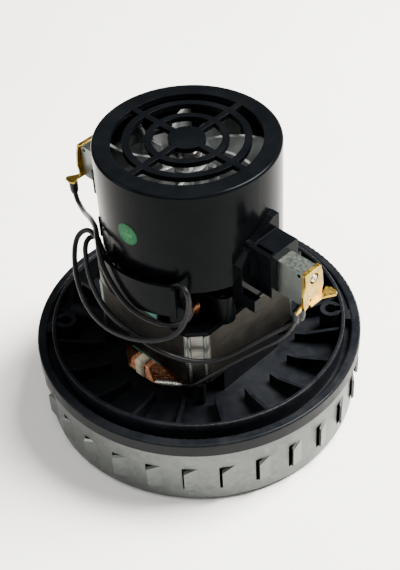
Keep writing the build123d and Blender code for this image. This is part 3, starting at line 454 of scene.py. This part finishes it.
# %% [markdown]
# ## Moulded black plastics
#
# The cover and the flange are both black, but not the same black. The cover is
# polished, with a low roughness and almost no grain. The flange is coarser, and
# greyer in the spots where it has been handled. Both get their rounded edges from a
# bevel in the shader, so that a thin line of light runs along them.

# %% Cover and flange finishes
def cover_finish():
    """Polished black moulding with faint flow marks and a few scuffs."""
    material, shader = new_finish("cover_black", (0.0018, 0.0021, 0.0026), 0.2, IOR=1.098,
                                  Specular_Tint=(0.84, 0.95, 1.0, 1.0))
    where = place(material)
    along = place(material, (1.0, 1.0, 0.15))
    scuffs = noise(material, along, 420.0, detail=6.0, roughness=0.7)
    wire(material, span(material, scuffs, 0.17, 0.3, from_low=0.45, from_high=0.75),
         shader.inputs["Roughness"])
    tone = shades(material, noise(material, where, 90.0),
                  (0.35, (0.0013, 0.0016, 0.0021)), (0.7, (0.0024, 0.0028, 0.0034)))
    wire(material, tone, shader.inputs["Base Color"])
    height = noise(material, where, 150.0, detail=2.0)
    wire(material, relief(material, height, depth=0.00005, edge=0.0003, strength=0.2),
         shader.inputs["Normal"])
    return material


def flange_finish():
    """Satin black moulding with fine grain, greyer in spots from wear."""
    material, shader = new_finish("flange_black", (0.0035, 0.0041, 0.0056), 0.34, IOR=1.14)
    where = place(material)
    lighter_share = noise(material, where, 130.0, detail=5.0, roughness=0.65)
    wire(material, span(material, lighter_share, 0.30, 0.48, from_low=0.4, from_high=0.7),
         shader.inputs["Roughness"])
    tone = shades(material, lighter_share, (0.4, (0.0034, 0.0041, 0.0056)), (0.75, (0.0075, 0.0081, 0.0094)))
    wire(material, tone, shader.inputs["Base Color"])
    grain = noise(material, where, 3200.0, detail=2.0)
    wire(material, relief(material, grain, depth=0.00002, edge=0.00025, strength=0.5),
         shader.inputs["Normal"])
    return material


finishes = {"lead_black": lead_black, "cover_black": cover_finish(), "flange_black": flange_finish()}
print("finishes", sorted(finishes))

# %% [markdown]
# ## Zinc and other plated steel
#
# Galvanised sheet has spangle: flat crystals a few millimetres across, each with
# its own shade. A Voronoi texture draws such crystals. Small plated parts have no
# visible spangle, only a fine brushed grain, so they share a simpler finish whose
# grain is noise stretched a long way in one direction.

# %% Metal finishes
def zinc_finish():
    """Galvanised sheet with faint spangle and rolling marks."""
    material, shader = new_finish("drum_zinc", (0.11, 0.118, 0.113), 0.40, 1.0)
    where = place(material)
    crystals = add(material, "TexVoronoi", {"Vector": where, "Scale": 420.0, "Randomness": 1.0})
    cloud = noise(material, where, 60.0, detail=4.0)
    mixed = add(material, "Math", {0: crystals.outputs["Color"], 1: cloud}, operation="MULTIPLY_ADD")
    mixed.inputs[2].default_value = 0.1
    tone = shades(material, mixed, (0.1, (0.072, 0.079, 0.076)), (0.8, (0.112, 0.119, 0.113)))
    wire(material, tone, shader.inputs["Base Color"])
    wire(material, span(material, cloud, 0.34, 0.52), shader.inputs["Roughness"])
    rolled = noise(material, place(material, (1.0, 1.0, 14.0)), 300.0, detail=3.0)
    wire(material, relief(material, rolled, depth=0.00003, edge=0.0002, strength=0.35),
         shader.inputs["Normal"])
    return material


def metal_finish(name, colour, low, high, shade_share=0.8):
    """Metal with a brushed grain: roughness from low to high, colour from a darker share of itself."""
    material, shader = new_finish(name, colour, (low + high) / 2, 1.0)
    brushed = noise(material, place(material, (1.0, 1.0, 12.0)), 700.0, detail=4.0, roughness=0.6)
    cloud = noise(material, place(material), 180.0, detail=3.0)
    wire(material, span(material, brushed, low, high), shader.inputs["Roughness"])
    tone = shades(material, cloud, (0.35, tuple(c * shade_share for c in colour)), (0.65, colour))
    wire(material, tone, shader.inputs["Base Color"])
    wire(material, relief(material, brushed, depth=0.00002, edge=0.00015, strength=0.3),
         shader.inputs["Normal"])
    return material


finishes["drum_zinc"] = zinc_finish()
metals = {
    "bearing_steel": ((0.62, 0.62, 0.64), 0.16, 0.28),
    "splice_tin": ((0.52, 0.50, 0.44), 0.30, 0.45),
    "shaft_steel": ((0.50, 0.50, 0.51), 0.18, 0.30),
    "rotor_steel": ((0.16, 0.16, 0.17), 0.35, 0.50),
    "commutator_copper": ((0.60, 0.27, 0.15), 0.22, 0.38),
    "impeller_aluminium": ((0.66, 0.67, 0.68), 0.28, 0.45),
    "steel_zinc": ((0.55, 0.54, 0.50), 0.25, 0.42),
    "holder_steel": ((0.125, 0.14, 0.132), 0.28, 0.44),
    "spring_steel": ((0.36, 0.36, 0.37), 0.25, 0.40),
}
for slot_name, (colour, low, high) in metals.items():
    finishes[slot_name] = metal_finish(slot_name, colour, low, high)
finishes["terminal_brass"] = metal_finish("terminal_brass", (0.43, 0.275, 0.048), 0.20, 0.42,
                                          shade_share=0.5)
print("finishes", len(finishes))

# %% [markdown]
# ## Laminations
#
# The field is a stack of about fifty punched steel sheets. Seen from the side it
# has fine level lines under a thin dark varnish. The front face is painted darker
# still, as painted shade from the leads and the guard that hang in front of it. A
# wave texture along Z with a pitch of half a millimetre gives the lines. At a scale
# of one its waves are a tenth of pi long, and a larger scale divides that. Stretched
# noise makes some sheets darker than their neighbours. The upper part of each cut
# corner is mixed towards a lighter steel, and lower down it keeps the darker tone.

# %% Stack finish
sheet_pitch = 0.00053
chamfer_start = 55.5 * mm
chamfer_blend = 0.4 * mm
# Painted shade on the front face: where it starts along Y, its blend, and how far it darkens the tone.
painted_shade_edge = -31.1 * mm
painted_shade_blend = 0.3 * mm
painted_shade_share = 0.75
bright_corner_from = 53.5 * mm
bright_corner_blend = 1.5 * mm
wave_at_scale_one = 0.1 * pi


def stack_finish():
    """Edges of punched sheets under dark varnish, with painted shade on the front face and lighter steel
    on the upper cut corners.
    """
    material, shader = new_finish("stack_steel", (0.10, 0.10, 0.105), 0.45, 1.0)
    where = place(material)
    lines = add(material, "TexWave", {"Vector": where, "Scale": wave_at_scale_one / sheet_pitch},
                wave_type="BANDS", bands_direction="Z", wave_profile="SIN")
    sheets = noise(material, place(material, (0.05, 0.05, 1.0)), 1900.0, detail=1.0)
    cloud = noise(material, where, 120.0, detail=4.0)
    tone = shades(material, sheets, (0.3, (0.034, 0.032, 0.028)), (0.55, (0.043, 0.040, 0.034)),
                  (0.8, (0.056, 0.051, 0.043)))
    axes = add(material, "SeparateXYZ", {"Vector": add(material, "TexCoord").outputs["Object"]})
    across = [add(material, "Math", {0: axes.outputs[axis]}, operation="ABSOLUTE") for axis in ("X", "Y")]
    diagonal = add(material, "Math", {0: across[0], 1: across[1]}, operation="ADD")
    # The cut corners are mixed towards lighter steel above a given height; below it they keep the darker
    # sheet tone.
    corner = span(material, diagonal, 0.0, 1.0, from_low=chamfer_start,
                  from_high=chamfer_start + chamfer_blend)
    height = span(material, axes.outputs["Z"], 0.05, 1.0, from_low=bright_corner_from - bright_corner_blend,
                  from_high=bright_corner_from + bright_corner_blend)
    bright_corner = add(material, "Math", {0: corner, 1: height}, operation="MULTIPLY")
    lighter_share = add(material, "Math", {0: bright_corner, 1: span(material, cloud, 0.6, 1.0)}, operation="MULTIPLY")
    bright = shades(material, sheets, (0.3, (0.16, 0.16, 0.145)), (0.7, (0.30, 0.30, 0.275)))
    # Painted shade: the front face is mixed towards near black, standing in for the shade of the leads and
    # the guard in front of it.
    front = span(material, axes.outputs["Y"], 1.0, 0.0, from_low=painted_shade_edge - painted_shade_blend,
                 from_high=painted_shade_edge)
    thick = add(material, "Math", {0: front, 1: painted_shade_share}, operation="MULTIPLY")
    front_shaded_tone = add(material, "Mix", {"Factor": thick, "B": (0.012, 0.011, 0.011, 1.0)}, data_type="RGBA")
    wire(material, tone, front_shaded_tone.inputs["A"])
    mixed = add(material, "Mix", {"Factor": lighter_share}, data_type="RGBA")
    wire(material, front_shaded_tone.outputs["Result"], mixed.inputs["A"])
    wire(material, bright, mixed.inputs["B"])
    wire(material, mixed.outputs["Result"], shader.inputs["Base Color"])
    wire(material, span(material, cloud, 0.35, 0.6), shader.inputs["Roughness"])
    bump = relief(material, lines.outputs["Fac"], depth=0.00005, edge=0.0001, strength=0.5)
    wire(material, bump, shader.inputs["Normal"])
    return material


finishes["stack_steel"] = stack_finish()
print("sheets about", round(sheet_pitch * 1000, 2), "mm apart")

# %% [markdown]
# ## Copper, varnish and the pale plastics
#
# Enamelled copper wire is copper seen through a clear amber skin, so it gets a coat
# over the metal. The armature's winding is dipped in dark red varnish, which is
# thicker and duller. The formers are moulded in green, the cooling fan in a pale
# glossy grey, and the tape is woven cloth.

# %% Wire finishes
def enamel_finish(name, dark, light, roughness, coat):
    """Copper wire under enamel, its shade changing slowly from turn to turn."""
    material, shader = new_finish(name, light, roughness, 1.0, Coat_Weight=coat, Coat_Roughness=0.12,
                                  Coat_IOR=1.5)
    where = place(material)
    turns = noise(material, place(material, (0.4, 0.4, 2.0)), 900.0, detail=2.0)
    tone = shades(material, turns, (0.3, dark), (0.7, light))
    wire(material, tone, shader.inputs["Base Color"])
    wire(material, span(material, noise(material, where, 400.0), roughness * 0.8, roughness * 1.3),
         shader.inputs["Roughness"])
    return material


def plastic_finish(name, dark, light, low, high, **sockets):
    """Moulded plastic with a soft grain and a slow change of shade."""
    material, shader = new_finish(name, light, (low + high) / 2, **sockets)
    where = place(material)
    cloud = noise(material, where, 140.0, detail=4.0)
    wire(material, shades(material, cloud, (0.35, dark), (0.65, light)), shader.inputs["Base Color"])
    wire(material, span(material, cloud, low, high), shader.inputs["Roughness"])
    grain = noise(material, where, 2600.0, detail=2.0)
    wire(material, relief(material, grain, depth=0.00002, edge=0.0002, strength=0.4),
         shader.inputs["Normal"])
    return material


wires = {"coil_copper": ((0.06, 0.015, 0.005), (0.27, 0.092, 0.024), 0.28, 0.5),
         "winding_varnish": ((0.075, 0.014, 0.010), (0.16, 0.035, 0.022), 0.38, 0.6)}
for slot_name, values in wires.items():
    finishes[slot_name] = enamel_finish(slot_name, *values)

plastics = {"insulator_green": ((0.012, 0.085, 0.070), (0.020, 0.13, 0.105), 0.36, 0.52),
            "hub_resin": ((0.014, 0.010, 0.008), (0.03, 0.022, 0.018), 0.4, 0.6),
            "brush_carbon": ((0.012, 0.012, 0.013), (0.030, 0.030, 0.032), 0.5, 0.7)}
for slot_name, values in plastics.items():
    finishes[slot_name] = plastic_finish(slot_name, *values)
finishes["fan_white"] = plastic_finish("fan_white", (0.21, 0.222, 0.22), (0.35, 0.367, 0.363), 0.15, 0.26,
                                       Metallic=0.7)
print("finishes", len(finishes))

# %% Cloth and paper finishes
def tape_finish():
    """Cream woven tape, its threads crossing about every half millimetre."""
    material, shader = new_finish("tape_cream", (0.62, 0.54, 0.38), 0.85)
    where = place(material)
    warp = add(material, "TexWave", {"Vector": where, "Scale": 700.0}, bands_direction="X")
    weft = add(material, "TexWave", {"Vector": where, "Scale": 700.0}, bands_direction="Y")
    weave = add(material, "Math", {0: warp.outputs["Fac"], 1: weft.outputs["Fac"]}, operation="MULTIPLY")
    tone = shades(material, noise(material, where, 500.0), (0.3, (0.50, 0.42, 0.28)),
                  (0.7, (0.70, 0.62, 0.46)))
    wire(material, tone, shader.inputs["Base Color"])
    wire(material, relief(material, weave, depth=0.00008, strength=0.6), shader.inputs["Normal"])
    return material


def sticker_finish(centre, radius):
    """Green paper dot, mottled by handling and darker towards its rim."""
    material, shader = new_finish("sticker_paper", (0.02, 0.13, 0.06), 0.6, IOR=1.2)
    where = add(material, "TexCoord").outputs["Object"]
    apart = add(material, "VectorMath", {0: where, 1: centre}, operation="DISTANCE")
    fibres = noise(material, where, 1500.0, detail=4.0, roughness=0.7)
    rough_edge = add(material, "Math", {0: fibres, 1: 0.0022, 2: apart.outputs["Value"]},
                     operation="MULTIPLY_ADD")
    disc = span(material, rough_edge.outputs[0], 0.0, 1.0, from_low=radius * 0.45, from_high=radius * 1.15)
    spots = noise(material, where, 1150.0, detail=3.0, roughness=0.6)
    mottled = shades(material, spots, (0.44, (0.007, 0.052, 0.020)), (0.58, (0.028, 0.150, 0.060)))
    tone = add(material, "Mix", {"Factor": disc, "B": (0.006, 0.060, 0.024, 1.0)}, data_type="RGBA")
    wire(material, mottled, tone.inputs["A"])
    wire(material, tone.outputs["Result"], shader.inputs["Base Color"])
    wire(material, relief(material, fibres, depth=0.00004, strength=0.5), shader.inputs["Normal"])
    return material


sticker_low, sticker_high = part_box("inspection_sticker")
sticker_centre = (sticker_low + sticker_high) / 2
sticker_radius = (sticker_high.z - sticker_low.z) / 2
finishes["tape_cream"] = tape_finish()
finishes["sticker_paper"] = sticker_finish(sticker_centre, sticker_radius)
print("sticker", round(sticker_radius * 2000, 1), "mm across")

# %% [markdown]
# ## Give each measured piece its finish
#
# The record lists each piece with the name of its finish, so one loop dresses them
# all. Only the material slots change: the measured shapes stay as they are.

# %% Dress the measured pieces
for part in frame["record"]["subparts"]:
    piece = nodes[part["node"]]
    piece.data.materials.clear()
    piece.data.materials.append(finishes[part["material_slot"]])

# %% [markdown]
# ## Field coils
#
# Each coil is wound from one length of enamelled wire: up one side of the pole,
# across the top, down the other side and back below, over and over. The solid
# model shows it with a dozen thick turns. Here the same space is filled with
# seventy-odd turns of thin wire, still as one unbroken spline.
#
# A turn is eight points. Each is given twice, because a doubled point pulls a
# spline of order 3 right into the corner. A little seeded randomness keeps the
# turns from looking machined.

# %% Turns of the field coils
stack_low, stack_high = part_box("stator_core")
pole_wire = 0.62 * mm
wire_pitch = 0.73 * mm
turn_columns = 7
turn_layers = 11
first_half_width = 15.25 * mm
first_depth = 20.25 * mm
first_rise = 2.05 * mm
lower_bow = 10.6 * mm
upper_bow = 5.6 * mm
flat_share = 0.35
turn_wander = 0.07 * mm
turn_seed = 11
wire_roundness = 1
wire_steps = 3


def turn_points(layer, column, chance):
    """Eight corners of one turn round the pole on the front side."""
    half = first_half_width + layer * wire_pitch
    depth = first_depth + column * wire_pitch
    rise = first_rise + layer * wire_pitch
    flat = half * flat_share
    low, high = stack_low.z - rise, stack_high.z + rise
    corners = [(flat, -depth - upper_bow, high), (half, -depth, high), (half, -depth, low),
               (flat, -depth - lower_bow, low), (-flat, -depth - lower_bow, low), (-half, -depth, low),
               (-half, -depth, high), (-flat, -depth - upper_bow, high)]
    return [Vector(corner) + Vector([chance.uniform(-turn_wander, turn_wander) for _ in range(3)])
            for corner in corners]


def coil_points():
    """All turns in winding order: out along one layer, back along the next."""
    chance = random.Random(turn_seed)
    points = []
    for layer in range(turn_layers):
        columns = range(turn_columns) if layer % 2 == 0 else reversed(range(turn_columns))
        for column in columns:
            points += turn_points(layer, column, chance)
    return points


def wound_coil(name, node, points, half_turns):
    """One unbroken wire standing for a solid coil, turned about Z by half turns."""
    curve = round_wire(name, pole_wire / 2, wire_roundness, wire_steps, finishes["coil_copper"])
    turned = Matrix.Rotation(pi * half_turns, 4, "Z")
    add_spline(curve, [turned @ point for point in points for _ in range(2)])
    coil = show(name, curve)
    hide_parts(node)
    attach(coil, "motor")


pole_turns = coil_points()
wound_coil("front_coil_wire", "front_field_coil", pole_turns, 0)
wound_coil("rear_coil_wire", "rear_field_coil", pole_turns, 1)
print("turns on each pole", turn_columns * turn_layers)

# %% [markdown]
# ## Armature winding
#
# The rotor has twelve slots, and each of its coils spans five of them. At both
# ends of the stack the wires cross over each other round the shaft and make a
# thick head. Each coil below is a few strands that leave one slot, lean over
# towards the shaft and go down into the slot five places on.

# %% Strands of the armature heads
slot_count = 12
slot_span = 5
strands = 6
slot_reach = 14.6 * mm
head_reach = 16.9 * mm
head_low_radius = 7.6 * mm
head_wire = 0.8 * mm
head_heights = {1: 10.6 * mm, -1: 7.2 * mm}
head_layers = 4
height_shares = (0.35, 0.4, 0.25)
inner_share = 0.35
lift_power = 0.45
strand_steps = 8
strand_wander = 0.15 * mm
strand_seed = 5


def head_strand(side, first_slot, strand, chance):
    """Points of one strand over the upper (1) or lower (-1) end of the stack."""
    step = 2 * pi / slot_count
    start = first_slot * step
    share = (strand + 0.5) / strands
    layer = (first_slot % head_layers) / head_layers
    rise = head_heights[side] * (height_shares[0] + height_shares[1] * layer + height_shares[2] * share)
    base = stack_high.z if side > 0 else stack_low.z
    points = []
    for k in range(strand_steps + 1):
        along = k / strand_steps
        middle_share = sin(pi * along)
        reach = slot_reach + (head_reach - slot_reach) * share * middle_share
        reach -= (slot_reach - head_low_radius) * inner_share * (1 - share) * middle_share
        reach += chance.uniform(-strand_wander, strand_wander)
        angle = start + slot_span * step * along
        height = base + side * rise * middle_share ** lift_power
        points.append((cos(angle) * reach, sin(angle) * reach, height))
    return points


strand_chance = random.Random(strand_seed)
winding_curve = round_wire("armature_strands", head_wire / 2, wire_roundness, wire_steps,
                           finishes["winding_varnish"])
for side in (1, -1):
    for first_slot in range(slot_count):
        for strand in range(strands):
            add_spline(winding_curve, head_strand(side, first_slot, strand, strand_chance))
winding = show("armature_strands", winding_curve)
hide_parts("armature_winding")
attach(winding, "rotor")
print("strands", len(winding_curve.splines))

# %% [markdown]
# ## Weld runs
#
# The sheets are held together by welds down the stack's cut corners, two at each
# corner. A weld run is a row of overlapping drops of once-molten steel, brighter
# than the varnished sheets. It is modelled as a thin round bar whose thickness
# ripples, sunk into its groove.

# %% Weld beads
weld_reach = 40.0 * mm
weld_offset = 3.2 * mm
weld_radius = 0.85 * mm
weld_sink = 0.2 * mm
weld_gap = 0.3 * mm
weld_ripple = 0.18 * mm
weld_slant = 0.12 * mm
weld_end_share = 0.5
ripple_length = 1.15 * mm
rings_per_drop = 6
weld_sides = 10


def weld_bead(corner, side):
    """Rings of points up one groove, thick and thin in turn."""
    azimuth = pi / 4 + corner * pi / 2
    middle = Vector((cos(azimuth), sin(azimuth), 0)) * (weld_reach - weld_sink)
    middle += Vector((-sin(azimuth), cos(azimuth), 0)) * weld_offset * side
    bottom, top = stack_low.z + weld_gap, stack_high.z - weld_gap
    rings = round((top - bottom) / (ripple_length / rings_per_drop))
    points = []
    for k in range(rings + 1):
        z = bottom + (top - bottom) * k / rings
        drop = (z / ripple_length) % 1.0
        radius = weld_radius - weld_ripple * (1 - sin(pi * drop))
        if k in (0, rings):
            radius *= weld_end_share
        points += [middle + Vector((cos(angle) * radius, sin(angle) * radius, z + weld_slant * sin(angle)))
                   for angle in ring_angles(weld_sides)]
    return points, rings


weld_points, weld_faces = [], []
for corner in range(4):
    for side in (-1, 1):
        points, rings = weld_bead(corner, side)
        weld_faces += tube_faces(rings, weld_sides, len(weld_points))
        weld_points += points
welds = smooth_mesh("weld_runs", weld_points, weld_faces, finishes["holder_steel"])
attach(welds, "motor")
print("weld runs with", len(weld_points), "points")

# %% [markdown]
# ## Wrapped tape
#
# A strip of cream tape holds the coil's lower end turns together. It is wrapped
# about three times, and no wrap covers the last one exactly. Each wrap is a band
# with rounded corners round the bundle, a little wider or narrower than the next.

# %% Tape
tape_low, tape_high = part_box("coil_tape")
tape_wraps = 3
tape_share = 0.72
tape_corner = 0.9 * mm
tape_corner_steps = 5
tape_sheet = 0.1 * mm
tape_sink = 0.29 * mm
wrap_step = 0.2 * mm
wrap_skew = 0.1


def band_outline(half_y, half_z):
    """Points round a rectangle with rounded corners."""
    outline = []
    for k, (sy, sz) in enumerate(((1, 1), (-1, 1), (-1, -1), (1, -1))):
        for j in range(tape_corner_steps + 1):
            angle = pi / 2 * (k + j / tape_corner_steps)
            outline.append((sy * (half_y - tape_corner) + tape_corner * cos(angle),
                            sz * (half_z - tape_corner) + tape_corner * sin(angle)))
    return outline


def tape_band(wrap):
    """Points and faces of one wrap, a closed band with a little skew."""
    middle = (tape_low + tape_high) / 2
    half = (tape_high - tape_low) / 2
    grow = tape_sheet * wrap - tape_sink
    outline = band_outline(half.y + grow, half.z + grow)
    half_width = half.x * tape_share - wrap_step * wrap
    skew = wrap_skew * (wrap - 1)
    points = [(middle.x + edge * half_width + skew * y, middle.y + y, middle.z + z)
              for edge in (-1, 1) for y, z in outline]
    count = len(outline)
    faces = [(j, (j + 1) % count, count + (j + 1) % count, count + j) for j in range(count)]
    return points, faces


tape_points, tape_faces = [], []
for wrap in range(tape_wraps):
    points, faces = tape_band(wrap)
    tape_faces += [tuple(index + len(tape_points) for index in face) for face in faces]
    tape_points += points
tape = smooth_mesh("wrapped_tape", tape_points, tape_faces, finishes["tape_cream"])
thick = tape.modifiers.new("cloth_thickness", "SOLIDIFY")
thick.thickness = tape_sheet
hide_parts("coil_tape")
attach(tape, "motor")
print("tape wraps", tape_wraps)

# %% [markdown]
# ## The soldered splice
#
# Where the coil's wire meets its lead, the ends are twisted together and soldered.
# Solder wets the strands unevenly, so the joint is lumpy, thin at both ends, and
# still shows its twist. Four strands of changing thickness wind round one line.

# %% Splice
splice_start = Vector((10.6, -37.4, 36.8)) * mm
splice_end = Vector((22.4, -32.6, 39.6)) * mm
splice_strands = 4
splice_turns = 2.4
splice_steps = 24
splice_seed = 3
strand_radius = 0.62 * mm
twist_reach = 0.72 * mm
twist_shares = (0.25, 0.75)
twist_wander = 0.06 * mm
swell_shares = (0.55, 0.5)
swell_wander = 0.08
splice_roundness = 3


def twisted_strand(curve, strand, chance):
    """One soldered strand winding round the joint's line, swelling in the middle."""
    axis = (splice_end - splice_start).normalized()
    side = axis.cross(Vector((0, 0, 1))).normalized()
    other = axis.cross(side)
    spots, swells = [], []
    for k in range(splice_steps + 1):
        along = k / splice_steps
        angle = 2 * pi * (splice_turns * along + strand / splice_strands)
        swell = sin(pi * along) ** 0.5
        reach = twist_reach * (twist_shares[0] + twist_shares[1] * swell)
        reach += chance.uniform(-twist_wander, twist_wander)
        outward = side * cos(angle) + other * sin(angle)
        spots.append(splice_start.lerp(splice_end, along) + outward * reach)
        thickness_share = swell_shares[0] + swell_shares[1] * swell
        swells.append(thickness_share + chance.uniform(-swell_wander, swell_wander))
    for target, swell in zip(add_spline(curve, spots).points, swells):
        target.radius = swell


splice_curve = round_wire("soldered_splice", strand_radius, splice_roundness, lead_steps,
                          finishes["splice_tin"])
splice_curve.use_fill_caps = True
splice_chance = random.Random(splice_seed)
for strand in range(splice_strands):
    twisted_strand(splice_curve, strand, splice_chance)
splice_piece = show("soldered_splice", splice_curve)
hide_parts("crimp_splice")
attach(splice_piece, "motor")
print("splice", round((splice_end - splice_start).length * 1000, 1), "mm long")

# %% [markdown]
# ## Sleeves
#
# A short sleeve of black rubber is pushed over each crimp, so that no bare brass
# shows where a lead starts. It is widest near its top, where it is stretched over
# the crimp, and narrows to the lead below.

# %% Sleeves over the crimps
sleeve_profile = [(0.0, 0.92), (0.06, 1.0), (0.16, 0.985), (0.5, 0.955), (0.72, 0.93), (0.88, 0.80),
                  (0.97, 0.72), (1.0, 0.66)]
sleeve_sides = 26
sleeves = {"left": ((-64.0, -9.3), 88.85, 6.4, 2.0), "right": ((61.3, -3.7), 88.35, 6.6, 2.0),
           "field": ((61.3, -6.4), 88.35, 6.2, 1.45)}


def sleeve(name, spot, top, length, radius):
    """Soft tube hanging from a height, narrowing to the lead below, in millimetres."""
    points = [Vector((spot[0] + radius * out * cos(angle), spot[1] + radius * out * sin(angle),
                      top - length * down)) * mm
              for down, out in sleeve_profile for angle in ring_angles(sleeve_sides)]
    faces = tube_faces(len(sleeve_profile) - 1, sleeve_sides, 0)
    piece = smooth_mesh(name + "_sleeve", points, [tuple(reversed(face)) for face in faces], lead_black)
    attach(piece, "motor")


for name, values in sleeves.items():
    sleeve(name, *values)
print("sleeves", len(sleeves))

# %% [markdown]
# ## Rivets
#
# The rivets in the terminals are bright against the brass. A rivet's head is a
# shallow dome that was upset by a punch, so it has a soft rim and a small dimple.
# Its profile is turned round the rivet's own line.

# %% Rivet heads
rivet_profile = [(0.16, 0.74), (0.30, 0.86), (0.44, 0.98), (0.62, 1.0), (0.80, 0.93), (0.93, 0.78),
                 (1.0, 0.55), (1.0, 0.0)]
rivet_sides = 28


def rivet_head(node, side):
    """Dome with a dimple over the place of a measured rivet, facing along X on its side."""
    low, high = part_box(node)
    middle = (low + high) / 2
    radius = (high.z - low.z) / 2
    foot = low.x if side > 0 else high.x
    depth = high.x - low.x
    points = [(foot + side * depth * up, middle.y + radius * out * cos(angle),
               middle.z + radius * out * sin(angle))
              for out, up in rivet_profile for angle in ring_angles(rivet_sides)]
    faces = tube_faces(len(rivet_profile) - 1, rivet_sides, 0)
    if side > 0:
        faces = [tuple(reversed(face)) for face in faces]
    head = smooth_mesh(node + "_head", points, faces, finishes["splice_tin"])
    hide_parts(node)
    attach(head, "motor")


rivets = {"terminal_rivet_right": 1, "terminal_rivet_left": -1}
for node, side in rivets.items():
    rivet_head(node, side)
print("rivet heads", len(rivets))

# %% [markdown]
# ## Brush springs
#
# A spring in each holder presses its carbon brush onto the commutator. Its outer end
# stands on the terminal and its inner end on the brush, so when the brush slides
# outward the spring gets shorter. Here each spring is wound to fill the measured
# spring's box.

# %% Springs behind the brushes
spring_coils = 9
spring_wire = 0.6 * mm
spring_sides = 8
spring_steps = 22


def brush_spring(node):
    """Round wire wound along X between a brush and its terminal, filling the measured spring's box."""
    low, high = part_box(node)
    middle = (low + high) / 2
    reach = (high.z - low.z) / 2 - spring_wire / 2
    rings = spring_coils * spring_steps
    points = []
    for k in range(rings + 1):
        turn = 2 * pi * spring_coils * k / rings
        x = low.x + spring_wire / 2 + (high.x - low.x - spring_wire) * k / rings
        for section in ring_angles(spring_sides):
            out = reach + spring_wire / 2 * cos(section)
            points.append((x + spring_wire / 2 * sin(section), middle.y + out * cos(turn),
                           middle.z + out * sin(turn)))
    faces = tube_faces(rings, spring_sides, 0)
    spring = smooth_mesh(node + "_wire", points, faces, finishes["spring_steel"])
    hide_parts(node)
    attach(spring, "motor")
    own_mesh(spring)


brush_spring("brush_spring_right")
brush_spring("brush_spring_left")
print("springs with", spring_coils, "turns")

# %% [markdown]
# ## The end

# %% The end
print("scene ready")
